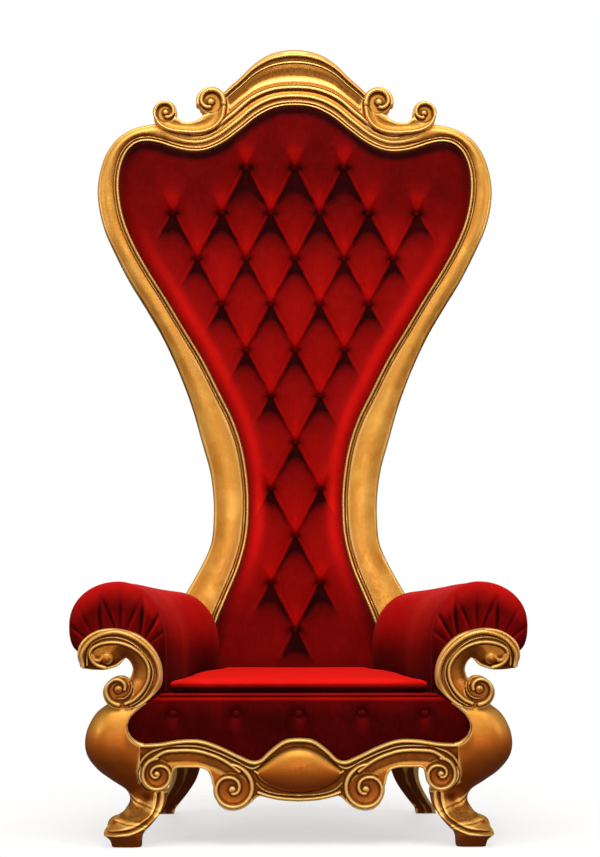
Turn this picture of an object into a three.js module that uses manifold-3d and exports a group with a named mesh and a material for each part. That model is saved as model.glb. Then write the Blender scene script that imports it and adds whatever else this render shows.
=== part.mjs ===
// A high-backed ceremonial throne: gilded carved wood and buttoned velvet.
// Millimetres, +Z up, the front faces -Y. The origin is on the floor, under the middle of the throne.
// "left" is the side at -X.

import * as THREE from 'three';
import { mergeVertices } from 'three/addons/utils/BufferGeometryUtils.js';
import Module from 'manifold-3d';

const wasm = await Module();
wasm.setup();

// ---------------------------------------------------------------- driving dimensions
const GAP = 0.4; // clearance between two pieces that touch
const FRONT_Y = -413.9; // plane of the front apron's face
const SEAT_BOTTOM_Z = 238;
const SEAT_BASE_TOP_Z = 416;
const CUSHION_TOP_Z = 450;
const RAIL_TOP_Z = 299;
const ARM_NEAR_Y = FRONT_Y + 12; // plane where the padded arms start, behind scrolls and border
const BORDER_NEAR_Y = FRONT_Y - 9;

const BACK_PIVOT_Y = FRONT_Y + 640; // the back's face plane at the height of the pivot
const BACK_PIVOT_Z = 447;
const BACK_LEAN = THREE.MathUtils.degToRad(5.5);
const FRAME_DEPTH = 70;
const COVER_FRONT = 38; // depth, behind the face plane, where the outside cover starts
const COVER_BACK = 62;
const COVER_BOTTOM_V = -110;

const BUTTON_RADIUS = 13;
const TUFT_WIDTH = 149; // from one button to the next along a row
const TUFT_ROW = 141; // from one row to the next
const TUFT_TOP_V = 1524; // height of the top row in the back's own frame
const TUFT_PIT = -8;
const TUFT_RISE = 34;
const TUFT_CROWN = 8; // further rise where a pillow is fullest
const PAD_LEVEL = 30; // depth, behind the face plane, of the pad's back
const PAD_BOTTOM_V = -20;
const TUFT_ROWS = [ // columns of each row from the top, in half tuft widths from the middle
  [-2, 0, 2], [-5, -3, -1, 1, 3, 5], [-4, -2, 0, 2, 4], [-3, -1, 1, 3], [-2, 0, 2], [-1, 1],
  [0], [-1, 1], [0], [-1, 1], [0],
];

const GOLD = { color: 0xc08c34, roughness: 0.36, metalness: 0.85 };
const DARK_GOLD = { color: 0x8a4b1a, roughness: 0.42, metalness: 0.7 };
const VELVET = { color: 0x9c0a0e, roughness: 0.85, metalness: 0.0 };

// ---------------------------------------------------------------- mesh helpers

/** A three.js geometry as a manifold solid. */
function toSolid(geometry) {
  const bare = geometry.clone();
  bare.deleteAttribute('normal');
  bare.deleteAttribute('uv');
  const merged = mergeVertices(bare, 1e-3);
  return new wasm.Manifold(new wasm.Mesh({
    numProp: 3,
    vertProperties: new Float32Array(merged.attributes.position.array),
    triVerts: new Uint32Array(merged.index.array),
  }));
}

/** A manifold solid as a three.js geometry. */
function toGeometry(solid) {
  const { vertProperties, triVerts } = solid.getMesh();
  const geometry = new THREE.BufferGeometry();
  geometry.setAttribute('position', new THREE.BufferAttribute(vertProperties, 3));
  geometry.setIndex(new THREE.BufferAttribute(triVerts, 1));
  return geometry;
}

/** The same geometry with every triangle turned over. */
function turnedOver(geometry) {
  const index = geometry.index.array;
  for (let i = 0; i < index.length; i += 3) {
    [index[i], index[i + 1]] = [index[i + 1], index[i]];
  }
  return geometry;
}

/** The mirror image across the plane x = 0. */
function mirrored(geometry) {
  return turnedOver(geometry.clone().scale(-1, 1, 1));
}

/** Triangles that fill a flat ring of points in space, as indices into the ring. */
function fillRing(ring) {
  const across = ring[1].clone().sub(ring[0]).normalize();
  const normal = new THREE.Vector3();
  ring.forEach((p, k) => normal.add(p.clone().cross(ring[(k + 1) % ring.length])));
  const up = normal.normalize().clone().cross(across);
  const flat = ring.map((p) => new THREE.Vector2(p.dot(across), p.dot(up)));
  return THREE.ShapeUtils.triangulateShape(flat, []);
}

/** Solid made of flat rings of points joined one to the next and filled at both ends. */
function loft(rings) {
  const count = rings[0].length;
  const positions = rings.flat().flatMap((p) => [p.x, p.y, p.z]);
  const triangles = [];
  for (let r = 0; r + 1 < rings.length; r += 1) {
    for (let k = 0; k < count; k += 1) {
      const a = r * count + k;
      const b = r * count + ((k + 1) % count);
      triangles.push(a, b, a + count, b, b + count, a + count);
    }
  }
  const last = (rings.length - 1) * count;
  fillRing(rings[0]).forEach(([a, b, c]) => triangles.push(c, b, a));
  fillRing(rings.at(-1)).forEach(([a, b, c]) => triangles.push(last + a, last + b, last + c));
  const geometry = new THREE.BufferGeometry();
  geometry.setAttribute('position', new THREE.Float32BufferAttribute(positions, 3));
  geometry.setIndex(new THREE.BufferAttribute(new Uint32Array(triangles), 1));
  return signedVolume(geometry) < 0 ? turnedOver(geometry) : geometry;
}

/** Volume enclosed by a closed geometry, negative when its faces point in. */
function signedVolume(geometry) {
  const points = geometry.attributes.position;
  const corners = [0, 1, 2].map(() => new THREE.Vector3());
  let volume = 0;
  for (let i = 0; i < geometry.index.count; i += 3) {
    corners.forEach((p, k) => p.fromBufferAttribute(points, geometry.index.array[i + k]));
    volume += corners[0].dot(corners[1].clone().cross(corners[2])) / 6;
  }
  return volume;
}

/** A smooth open line through points [x, z], cut into equal steps; returns 2-D vectors. */
function smooth(points, steps) {
  const curve = new THREE.CatmullRomCurve3(
    points.map(([x, z]) => new THREE.Vector3(x, z, 0)), false, 'centripetal');
  return curve.getSpacedPoints(steps).map((p) => new THREE.Vector2(p.x, p.y));
}

/** Points of a circular arc between two angles in degrees. */
function arc([x, z], radius, fromDegrees, toDegrees, steps) {
  return Array.from({ length: steps + 1 }, (_, k) => {
    const angle = THREE.MathUtils.degToRad(fromDegrees + ((toDegrees - fromDegrees) * k) / steps);
    return new THREE.Vector2(x + radius * Math.cos(angle), z + radius * Math.sin(angle));
  });
}

/** A closed outline moved outwards by a distance. */
function grown(outline, distance) {
  const turn = Math.sign(THREE.ShapeUtils.area(outline));
  return outline.map((p, i) => {
    const before = outline[(i + outline.length - 1) % outline.length];
    const after = outline[(i + 1) % outline.length];
    const along = after.clone().sub(before).normalize();
    return new THREE.Vector2(p.x + along.y * distance * turn, p.y - along.x * distance * turn);
  });
}

/** Plate with an outline in the X-Z plane, between two depths. */
function plate(outline, nearY, farY) {
  const shape = new THREE.Shape(outline);
  const geometry = new THREE.ExtrudeGeometry(shape, { depth: farY - nearY, bevelEnabled: false });
  return geometry.rotateX(Math.PI / 2).translate(0, farY, 0);
}

/** Raised bead along a line in the X-Z plane, standing on the plane y = faceY or sunk below it. */
function bead(line, width, height, faceY, { foot = 0, taper = () => 1 } = {}) {
  const crown = [[-0.5, 0], [-0.25, -1], [0.25, -1], [0.5, 0]];
  const section = foot ? [[-0.5, foot / height], ...crown, [0.5, foot / height]] : crown;
  return loft(line.map((p, i) => {
    const along = line[Math.min(i + 1, line.length - 1)].clone().sub(line[Math.max(i - 1, 0)]);
    along.normalize();
    const scale = taper(i / (line.length - 1));
    return section.map(([across, out]) => new THREE.Vector3(
      p.x - along.y * across * width * scale,
      faceY + out * height * scale,
      p.y + along.x * across * width * scale));
  }));
}

/** Spiral line that winds in from the rim of a volute to its eye. */
function spiral([x, z], radius, startDegrees, turns, hand, steps) {
  return Array.from({ length: steps + 1 }, (_, k) => {
    const part = k / steps;
    const angle = THREE.MathUtils.degToRad(startDegrees + hand * 360 * turns * part);
    const reach = radius * (1 - 0.72 * part);
    return new THREE.Vector2(x + reach * Math.cos(angle), z + reach * Math.sin(angle));
  });
}

/** Outline of a volute's disc. */
function discOutline({ centre, radius }) {
  return arc(centre, radius, 0, 320, 8);
}

/** Round carved volute: a disc, a spiral ridge on it and a domed eye. */
function volute({ centre, radius, nearY, farY, relief, start, hand }) {
  const disc = plate(discOutline({ centre, radius }), nearY, farY);
  const ridge = bead(spiral(centre, radius * 0.82, start, 0.9, hand, 6), radius * 0.34, relief,
    nearY, { taper: (along) => 1 - 0.45 * along });
  const dome = [[0, 0], [0.2, 0], [0.15, 0.17], [0, 0.22]];
  const eye = new THREE.LatheGeometry(dome.map(([r, h]) => new THREE.Vector2(r, h)), 5)
    .scale(radius, radius, radius).rotateX(Math.PI).translate(centre[0], nearY, centre[1]);
  return toSolid(disc).add(toSolid(ridge)).add(toSolid(eye));
}

/** A named sub-part. */
function part(name, geometry, finish) {
  const mesh = new THREE.Mesh(geometry, new THREE.MeshStandardMaterial(finish));
  mesh.name = name;
  return mesh;
}

/** The same sub-part on both sides: the drawn one at +X and its mirror image at -X. */
function pair(name, geometry, finish) {
  return [part(`${name}_left`, mirrored(geometry), finish), part(`${name}_right`, geometry, finish)];
}

// ---------------------------------------------------------------- back frame
// Drawn in the back's own frame: x across, v up along the lean, w behind the face plane.

// Half of the frame's main moulding from the top middle down: [inner x, inner v, outer x, outer v].
const FRAME_STATIONS = [
  [0, 1719, 0, 1793], [63, 1710, 72, 1786], [115, 1683, 134, 1761], [170, 1639, 198, 1708],
  [225, 1599, 250, 1668], [277, 1578, 293, 1649], [323, 1576, 330, 1649], [369, 1585, 361, 1655],
  [415, 1599, 407, 1664], [452, 1605, 453, 1660], [483, 1599, 501, 1646], [507, 1580, 544, 1618],
  [522, 1555, 578, 1571], [533, 1518, 596, 1518], [537, 1471, 604, 1465], [531, 1409, 601, 1409],
  [515, 1347, 584, 1338], [484, 1276, 548, 1258], [441, 1199, 508, 1180], [389, 1116, 459, 1100],
  [337, 1029, 407, 1011], [278, 931, 357, 904], [230, 836, 316, 796], [187, 748, 281, 674],
  [159, 662, 259, 595], [143, 565, 248, 513], [139, 489, 247, 449], [145, 392, 254, 374],
  [168, 301, 279, 313], [204, 213, 321, 237], [234, 141, 363, 165], [262, 53, 392, 60],
  [278, -40, 404, -40], [284, -140, 408, -140], [286, -250, 408, -250],
];
const FOOT_RAIL_V = [-250, -120];
const FOOT_RAIL_WIDTH = 600;
const FRAME_STEPS = 1; // rings of the moulding for each station
const BEAD_WIDTH = 20;
const RIM_WIDTH = 24;

/** Depth profile of the moulding for a width: pairs of distance from the inner edge and depth. */
function frameProfile(width) {
  const plain = width - BEAD_WIDTH - RIM_WIDTH;
  return [
    [0, FRAME_DEPTH], [0, 0], [4, -13], [12, -13], [BEAD_WIDTH, -5],
    [BEAD_WIDTH + 0.4 * plain, -15], [width - RIM_WIDTH, -12], [width, 16], [width, FRAME_DEPTH],
  ];
}

/** Half stations mirrored into a whole run from the left foot over the top to the right foot. */
function wholeRun(half) {
  const left = half.slice(1).reverse().map(([ix, iv, ox, ov]) => [-ix, iv, -ox, ov]);
  return [...left, ...half];
}

/** Rings of a moulding that runs through stations with an inner and an outer line. */
function mouldingRings(stations, stepsPerStation, profileFor) {
  const line = (a, b) => new THREE.CatmullRomCurve3(
    stations.map((s) => new THREE.Vector3(s[a], 0, s[b])), false, 'centripetal');
  const inner = line(0, 1);
  const outer = line(2, 3);
  const steps = (stations.length - 1) * stepsPerStation;
  return Array.from({ length: steps + 1 }, (_, k) => {
    const from = inner.getPoint(k / steps);
    const across = outer.getPoint(k / steps).sub(from);
    const width = across.length();
    return profileFor(width).map(([s, w]) => from.clone()
      .addScaledVector(across, s / width).setY(w));
  });
}

const CREST_STEPS = 1;
// Half of the raised crest above the main moulding: [lower x, lower v, upper x, upper v].
const CREST_STATIONS = [
  [0, 1787, 0, 1901], [63, 1782, 73, 1888], [115, 1766, 125, 1856],
  [152, 1741, 168, 1813], [177, 1721, 198, 1786], [198, 1702, 220, 1765],
];

/** Profile of the crest: a wide plain band, two beads and a hollow top edge. */
function crestProfile(width) {
  return [
    [0, FRAME_DEPTH - 2], [0, 2], [0.08 * width, -20], [0.25 * width, -25], [0.42 * width, -20],
    [0.52 * width, -8], [0.62 * width, -12], [0.72 * width, -4], [0.84 * width, -10], [width, 14],
    [width, FRAME_DEPTH - 2],
  ];
}

/** C-scroll on a shoulder: a curved limb that ends in two volutes. */
function shoulderScroll() {
  const limb = smooth([[424, 1712], [408, 1664], [370, 1644], [324, 1639], [278, 1647],
    [240, 1672], [218, 1722]], 9);
  const body = bead(limb, 44, 28, 22, { foot: 28 });
  const outerCurl = volute({
    centre: [399, 1695], radius: 36, nearY: -8, farY: 50, relief: 10, start: -20, hand: 1 });
  const innerCurl = volute({
    centre: [257, 1730], radius: 43, nearY: -8, farY: 50, relief: 12, start: 180, hand: -1 });
  return toSolid(body).add(outerCurl).add(innerCurl);
}

function backFrame() {
  const main = toSolid(loft(mouldingRings(wholeRun(FRAME_STATIONS), FRAME_STEPS, frameProfile)));
  const crest = toSolid(loft(mouldingRings(wholeRun(CREST_STATIONS), CREST_STEPS, crestProfile)));
  const scroll = shoulderScroll();
  const otherScroll = toSolid(mirrored(toGeometry(scroll)));
  const railHeight = FOOT_RAIL_V[1] - FOOT_RAIL_V[0];
  const rail = toSolid(new THREE.BoxGeometry(FOOT_RAIL_WIDTH, FRAME_DEPTH, railHeight)
    .translate(0, FRAME_DEPTH / 2, (FOOT_RAIL_V[0] + FOOT_RAIL_V[1]) / 2));
  return toGeometry(main.add(crest).add(scroll).add(otherScroll).add(rail));
}

// ---------------------------------------------------------------- upholstered back

/** Closed outline of the opening in the frame, moved in by a distance and cut off below. */
function openingOutline(inset, bottomV) {
  const rings = mouldingRings(wholeRun(FRAME_STATIONS), FRAME_STEPS, frameProfile);
  const edge = rings.map(([innerBack]) => new THREE.Vector2(innerBack.x, innerBack.z))
    .filter((p) => p.y > bottomV);
  edge[0].y = bottomV;
  edge.at(-1).y = bottomV;
  return grown(edge, -inset);
}

/** Height of the buttoned surface in front of the pits: pillows between crossing creases. */
function tuftHeight(x, v) {
  const column = x / TUFT_WIDTH;
  const row = (TUFT_TOP_V - v) / (2 * TUFT_ROW);
  const a = Math.abs(Math.sin(Math.PI * (column + row)));
  const b = Math.abs(Math.sin(Math.PI * (column - row)));
  return TUFT_RISE * Math.sqrt(a * b) + TUFT_CROWN * Math.max(a, b);
}

function backCushion() {
  const cellX = TUFT_WIDTH / 4;
  const cellV = TUFT_ROW / 2;
  const columns = 32;
  const bottomV = TUFT_TOP_V - 11 * TUFT_ROW;
  const rows = Math.ceil((1760 - bottomV) / cellV);
  const slab = new THREE.BoxGeometry(columns * cellX, PAD_LEVEL, rows * cellV, columns, 1, rows)
    .translate(0, PAD_LEVEL / 2, bottomV + (rows * cellV) / 2);
  const points = slab.attributes.position;
  for (let i = 0; i < points.count; i += 1) {
    if (points.getY(i) < PAD_LEVEL / 2) {
      points.setY(i, TUFT_PIT - tuftHeight(points.getX(i), points.getZ(i)));
    }
  }
  const block = toSolid(plate(openingOutline(GAP, PAD_BOTTOM_V), -60, PAD_LEVEL - 4));
  return toSolid(slab).intersect(block);
}

function backCover() {
  return plate(openingOutline(GAP, COVER_BOTTOM_V), COVER_FRONT, COVER_BACK);
}

/** Covered button: a low dome with a tapered underside that sinks into its pit. */
function buttonGeometry(sink) {
  const profile = [[0, 0], [BUTTON_RADIUS, sink], [0, sink + 7]];
  const dome = new THREE.LatheGeometry(profile.map(([r, h]) => new THREE.Vector2(r, h)), 6);
  return dome.rotateX(Math.PI);
}

function backButtons() {
  const buttons = [];
  TUFT_ROWS.forEach((columns, row) => {
    columns.forEach((column) => {
      const number = String(buttons.length + 1).padStart(2, '0');
      const button = part(`back_button_${number}`, buttonGeometry(12), VELVET);
      button.position.set((column * TUFT_WIDTH) / 2, TUFT_PIT - GAP, TUFT_TOP_V - row * TUFT_ROW);
      buttons.push(button);
    });
  });
  return buttons;
}

// ---------------------------------------------------------------- apron and legs

// Top edge of the apron from the middle to the knee, and the arched lower edge back again.
const APRON_TOP = [[0, 296], [39, 291], [80, 263], [108, 237], [127, 233], [163, 247], [218, 273],
  [273, 291], [329, 291], [384, 283], [437, 280]];
const APRON_UNDER = [[349, 216], [273, 214], [246, 200], [237, 170]];
const APRON_STEPS = 15;
const CARTOUCHE_UNDER = [[111, 136], [55, 124], [0, 120]];
const INNER_VOLUTE = { centre: [183, 152], radius: 56, start: 180, hand: 1 };
const OUTER_VOLUTE = { centre: [392, 197], radius: 45, start: 20, hand: -1 };
const APRON_NEAR_Y = FRONT_Y - 14;
const APRON_FAR_Y = FRONT_Y + 30;

/** Half outline of the apron, from the middle of its top edge round to the middle below. */
function apronHalf() {
  return [
    ...smooth(APRON_TOP, APRON_STEPS),
    ...arc(OUTER_VOLUTE.centre, OUTER_VOLUTE.radius, 10, -150, 8),
    ...smooth(APRON_UNDER, 6),
    ...arc(INNER_VOLUTE.centre, INNER_VOLUTE.radius, 15, -160, 9),
    ...smooth(CARTOUCHE_UNDER, 4),
  ];
}

/** Whole outline, mirrored about the middle; the two points on the axis are kept once. */
function mirroredOutline(half) {
  const left = half.slice(1, -1).reverse().map((p) => new THREE.Vector2(-p.x, p.y));
  return [...half, ...left];
}

function apronSolid() {
  return toSolid(plate(mirroredOutline(apronHalf()), APRON_NEAR_Y, APRON_FAR_Y));
}

/** Space kept free for a piece of the front with this outline, from far in front to its back. */
function roomFor(outline, farY) {
  return toSolid(plate(grown(outline, GAP), FRONT_Y - 120, farY + GAP));
}

/** Beads that follow the arches and run into the volutes. */
function apronBeads() {
  const upper = smooth([[100, 232], [127, 224], [163, 238], [218, 264], [273, 282], [329, 282],
    [384, 274], [425, 268]], 9);
  const lower = smooth([[122, 152], [134, 186], [163, 211], [218, 241], [273, 260], [329, 263],
    [370, 258], [420, 234], [431, 205]], 10);
  return [bead(upper, 13, 10, APRON_NEAR_Y), bead(lower, 11, 10, APRON_NEAR_Y)];
}

/** Swelling lens in the middle of the apron with a bead below it. */
function cartouche() {
  const lens = new THREE.SphereGeometry(1, 12, 6).scale(112, 30, 56)
    .translate(0, APRON_NEAR_Y + 8, 204);
  const rim = smooth([[-112, 152], [-55, 136], [0, 131], [55, 136], [112, 152]], 8);
  const crown = smooth([[-108, 230], [-80, 254], [-39, 282], [0, 287], [39, 282], [80, 254],
    [108, 230]], 10);
  return toSolid(lens)
    .add(toSolid(bead(rim, 12, 9, APRON_NEAR_Y)))
    .add(toSolid(bead(crown, 12, 9, APRON_NEAR_Y)));
}

function frontApron() {
  let solid = apronSolid().add(cartouche());
  [INNER_VOLUTE, OUTER_VOLUTE].forEach((scroll) => {
    const curl = volute({ ...scroll, nearY: APRON_NEAR_Y - 6, farY: APRON_FAR_Y - 10, relief: 12 });
    solid = solid.add(curl).add(toSolid(mirrored(toGeometry(curl))));
  });
  apronBeads().forEach((line) => {
    solid = solid.add(toSolid(line)).add(toSolid(mirrored(line)));
  });
  return toGeometry(solid);
}

// Levels of the front leg: [z, inner x, outer x, near depth, far depth], depths from FRONT_Y.
const LEG_LEVELS = [
  [402, 440, 508, 0, 92], [385, 433, 532, -14, 104], [360, 430, 563, -34, 118],
  [317, 430, 586, -54, 128], [278, 428, 592, -60, 130], [245, 418, 585, -56, 126],
  [207, 396, 557, -40, 116], [177, 376, 518, -22, 104], [149, 362, 477, -6, 92],
  [131, 366, 467, -4, 84], [111, 374, 475, -12, 74], [95, 380, 500, -30, 68],
  [80, 386, 520, -50, 64], [59, 400, 522, -52, 60], [55, 404, 508, -40, 58],
  [50, 408, 528, -62, 56], [34, 422, 530, -62, 54], [25, 428, 519, -50, 48], [0, 431, 512, -44, 42],
];

/** Rounded cross-section of the leg at one level. */
function legRing([z, innerX, outerX, near, far]) {
  const sides = 12;
  const middleX = (innerX + outerX) / 2;
  const middleY = FRONT_Y + (near + far) / 2;
  return Array.from({ length: sides }, (_, k) => {
    const angle = (2 * Math.PI * (k + 0.5)) / sides;
    const squared = (c) => Math.sign(c) * Math.abs(c) ** 0.72;
    return new THREE.Vector3(
      middleX + squared(Math.cos(angle)) * (outerX - innerX) * 0.507,
      middleY + squared(Math.sin(angle)) * (far - near) * 0.507, z);
  });
}

/** Lip that runs from the apron's top edge up round the padded front of the seat. */
function kneeLip() {
  const line = smooth([[424, 272], [452, 280], [470, 296], [480, 322], [476, 347], [460, 370],
    [440, 387]], 9);
  return toSolid(bead(line, 14, 12, FRONT_Y - 8, { foot: 40 }));
}

function frontLeg() {
  const leg = toSolid(loft(LEG_LEVELS.map(legRing))).add(kneeLip());
  const armRoom = new THREE.BoxGeometry(200, 300, 120)
    .translate(ARM_PANEL_X - 100 + GAP, ARM_NEAR_Y - GAP + 150, RAIL_TOP_Z + 60 - GAP);
  return toGeometry(leg
    .subtract(roomFor(mirroredOutline(apronHalf()), APRON_FAR_Y))
    .subtract(roomFor(discOutline(OUTER_VOLUTE), APRON_FAR_Y))
    .subtract(roomFor(borderOutline(), ARM_NEAR_Y))
    .subtract(roomFor(armScrollOutline(), ARM_NEAR_Y))
    .subtract(toSolid(armRoom)));
}

/** Plain sabre leg under the back: a square section that sweeps out and back. */
function backLeg() {
  const levels = [
    [195, 288, 400, 640, 686], [150, 286, 372, 636, 692], [110, 298, 372, 650, 706],
    [70, 322, 388, 672, 724], [30, 352, 412, 694, 746], [16, 362, 422, 700, 754],
    [0, 366, 426, 702, 758],
  ];
  const slope = (level) => (level === 0 ? Math.tan(BACK_LEAN) : 0); // the top meets the leaning frame
  return loft(levels.map(([z, innerX, outerX, near, far], level) => [
    [innerX, near], [outerX, near], [outerX, far], [innerX, far],
  ].map(([x, depth]) => new THREE.Vector3(x, FRONT_Y + depth, z - (depth - near) * slope(level)))));
}

/** Plain rail along the side, between the front leg and the frame of the back. */
function sideRail() {
  const section = (depth, innerX, outerX) => [
    [innerX, 216], [outerX - 8, 216], [outerX, 226], [outerX, 246], [outerX - 6, 254],
    [outerX - 6, 288], [outerX - 12, RAIL_TOP_Z], [innerX, RAIL_TOP_Z],
  ].map(([x, z]) => new THREE.Vector3(x, FRONT_Y + depth, z));
  const rail = toSolid(loft([section(60, 440, 492), section(640, 378, 430)]));
  const leg = toSolid(loft(LEG_LEVELS.map((level) => {
    const [z, innerX, outerX, near, far] = level;
    return legRing([z, innerX - GAP, outerX + GAP, near - GAP, far + GAP]);
  })));
  return toGeometry(rail.subtract(leg).intersect(roomBeforeBack(ARM_TO_BACK)));
}

// ---------------------------------------------------------------- arms

const ARM_PANEL_X = 452;
const ARM_TO_BACK = 16; // the arm ends this far before the back's face plane
// Sections of the padded arm from the front: depth, inner x, outer x, top z, outside panel x.
const ARM_SECTIONS = [
  [12, 396, 614, 694, 452], [20, 382, 632, 714, 452], [40, 376, 640, 723, 452],
  [110, 356, 634, 720, 451], [240, 330, 612, 712, 447], [370, 311, 584, 700, 441],
  [450, 284, 562, 690, 438], [520, 244, 542, 682, 434], [590, 229, 528, 676, 430],
  [664, 226, 520, 670, 428],
];
const ROLL_UNDER_Z = 516;
const ROLL_MIDDLE_Z = 600; // height where the roll is widest

/** Cross-section of the arm: a wall with a wide roll that overhangs outwards. */
function armSection([depth, innerX, outerX, topZ, panelX], grow) {
  const middleX = (innerX + outerX) / 2;
  const reach = (outerX - innerX) / 2 + grow;
  const low = ROLL_UNDER_Z - grow;
  const rise = topZ + grow - ROLL_MIDDLE_Z;
  const crown = [0, 22, 45, 68, 90, 112, 135, 158, 180].map((degrees) => {
    const angle = THREE.MathUtils.degToRad(degrees);
    return [middleX + reach * Math.cos(angle), ROLL_MIDDLE_Z + rise * Math.sin(angle)];
  });
  const outside = [[innerX + reach * 2 - 30, low + 8], [panelX + grow + 24, low],
    [panelX + grow, low - 10], [panelX + grow, RAIL_TOP_Z + GAP - grow]];
  const inside = [[innerX - grow, RAIL_TOP_Z + GAP - grow], [innerX - grow, 470]];
  const nose = [[outerX + grow - 5, 556]];
  return [...inside, ...crown.reverse(), ...nose, ...outside]
    .map(([x, z]) => new THREE.Vector3(x, FRONT_Y + depth, z));
}

function armSolid(grow) {
  return toSolid(loft(ARM_SECTIONS.map((section) => armSection(section, grow))));
}

/** Half-space in front of the leaning back, as a big block. */
function roomBeforeBack(depthBefore) {
  return toSolid(new THREE.BoxGeometry(1600, 1200, 2600)
    .translate(0, -600 - depthBefore, 0)
    .rotateX(-BACK_LEAN).translate(0, BACK_PIVOT_Y, BACK_PIVOT_Z));
}

function arm() {
  return toGeometry(armSolid(0).intersect(roomBeforeBack(ARM_TO_BACK)));
}

// Outer edge of the carved C on the arm's front, from the outer tip over the top to the foot.
const SCROLL_OUTER = [[603, 494], [610, 520], [606, 550], [589, 573], [560, 590], [520, 597],
  [480, 592], [438, 576], [402, 540], [383, 505], [377, 472], [381, 440], [405, 411], [438, 386],
  [471, 373], [498, 373], [522, 388], [536, 410]];
// Inner edge, from the lower curl round the opening of the C to the outer tip.
const SCROLL_INNER = [[530, 452], [498, 467], [470, 460], [459, 478], [462, 500], [482, 513],
  [510, 494], [545, 485], [580, 488]];
const SCROLL_NEAR_Y = FRONT_Y - 18;

function armScrollOutline() {
  return [...smooth(SCROLL_OUTER, 22), ...smooth(SCROLL_INNER, 11)];
}

function armScroll() {
  const outerLine = smooth([[598, 506], [602, 530], [588, 564], [560, 582], [520, 589], [482, 584],
    [443, 569], [410, 536], [392, 503], [385, 472], [389, 443], [410, 418], [441, 395], [472, 382],
    [498, 383]], 15);
  const innerLine = smooth([[575, 512], [574, 535], [552, 554], [520, 562], [484, 556], [450, 536],
    [426, 506], [416, 474], [424, 440], [448, 414], [478, 400]], 12);
  const upperCurl = volute({
    centre: [541, 523], radius: 34, nearY: SCROLL_NEAR_Y - 4, farY: FRONT_Y, relief: 10, start: 40,
    hand: -1 });
  const lowerCurl = volute({
    centre: [502, 430], radius: 37, nearY: SCROLL_NEAR_Y - 4, farY: FRONT_Y, relief: 10, start: -90,
    hand: 1 });
  const solid = toSolid(plate(armScrollOutline(), SCROLL_NEAR_Y, ARM_NEAR_Y - GAP))
    .add(toSolid(bead(outerLine, 16, 12, SCROLL_NEAR_Y)))
    .add(toSolid(bead(innerLine, 13, 10, SCROLL_NEAR_Y)))
    .add(upperCurl).add(lowerCurl);
  return toGeometry(solid);
}

// ---------------------------------------------------------------- seat

// Side of the seat in plan, from the front: [x, depth]; it follows the inner faces of the arms.
const SEAT_SIDE = [[372, 20], [355, 110], [329, 240], [310, 370], [283, 450], [243, 520], [228, 588]];

/** Closed plan outline of the seat, moved in by a distance. */
function seatPlan(inset, frontDepth, backDepth) {
  const side = smooth(SEAT_SIDE.map(([x, depth]) => [x - inset, depth]), 9);
  side[0].set(side[0].x, frontDepth);
  side.at(-1).set(side.at(-1).x, backDepth);
  const left = side.slice().reverse().map((p) => new THREE.Vector2(-p.x, p.y));
  return [...side, ...left];
}

/** Plan outline raised into a block between two heights, with softened upper edges. */
function planBlock(outline, bottomZ, topZ, soften) {
  const ring = (z, inset) => grown(outline, -inset)
    .map((p) => new THREE.Vector3(p.x, FRONT_Y + p.y, z));
  return loft([ring(bottomZ, soften / 2), ring(bottomZ + soften / 2, 0), ring(topZ - soften, 0),
    ring(topZ - soften * 0.3, soften * 0.3), ring(topZ, soften)]);
}

// Padded front of the seat base from the middle to the knee, along its top and down its end.
const BORDER_SIDE = [[382, 418], [411, 398], [439, 379], [462, 357], [472, 332], [467, 308],
  [447, 285], [437, 280]];

const BORDER_BUTTON_STEP = 174;
const BORDER_BUTTON_Z = 362;

function borderOutline() {
  const top = [new THREE.Vector2(0, 418), new THREE.Vector2(200, 418)];
  const lowerEdge = smooth(APRON_TOP, APRON_STEPS).reverse()
    .map((p) => new THREE.Vector2(p.x, p.y + GAP));
  return mirroredOutline([...top, ...smooth(BORDER_SIDE, 10), ...lowerEdge.slice(1)]);
}

/** Seat base: the platform between the arms and its padded, buttoned front. */
function seatBase() {
  const pad = plate(borderOutline(), FRONT_Y - 2, ARM_NEAR_Y - GAP);
  const brow = [[0, 412], [376, 412], [430, 374], [448, 340], [424, 306], [0, 306]];
  const swell = plate(mirroredOutline(brow.map(([x, z]) => new THREE.Vector2(x, z))),
    BORDER_NEAR_Y, FRONT_Y);
  const platform = planBlock(seatPlan(GAP + 1, 11, 588), SEAT_BOTTOM_Z, SEAT_BASE_TOP_Z, 4);
  return toGeometry(toSolid(pad).add(toSolid(swell)).add(toSolid(platform))
    .subtract(roomFor(mirroredOutline(apronHalf()), APRON_FAR_Y)));
}

function seatCushion() {
  return planBlock(seatPlan(3, 4, 584), SEAT_BASE_TOP_Z + 2 + GAP, CUSHION_TOP_Z, 14);
}

function borderButtons() {
  return [-2, -1, 0, 1, 2].map((place, index) => {
    const button = part(`border_button_${index + 1}`, buttonGeometry(3), VELVET);
    button.position.set(place * BORDER_BUTTON_STEP, BORDER_NEAR_Y - GAP, BORDER_BUTTON_Z);
    return button;
  });
}

// ---------------------------------------------------------------- assembly

/** The arms, seen from the back's own frame, so that the cushion can be cut clear of them. */
function armsSeenFromBack() {
  const oneArm = toGeometry(armSolid(GAP).intersect(roomBeforeBack(ARM_TO_BACK - GAP)));
  return [oneArm, mirrored(oneArm)].map((geometry) => toSolid(geometry
    .translate(0, -BACK_PIVOT_Y, -BACK_PIVOT_Z).rotateX(BACK_LEAN)));
}

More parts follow.
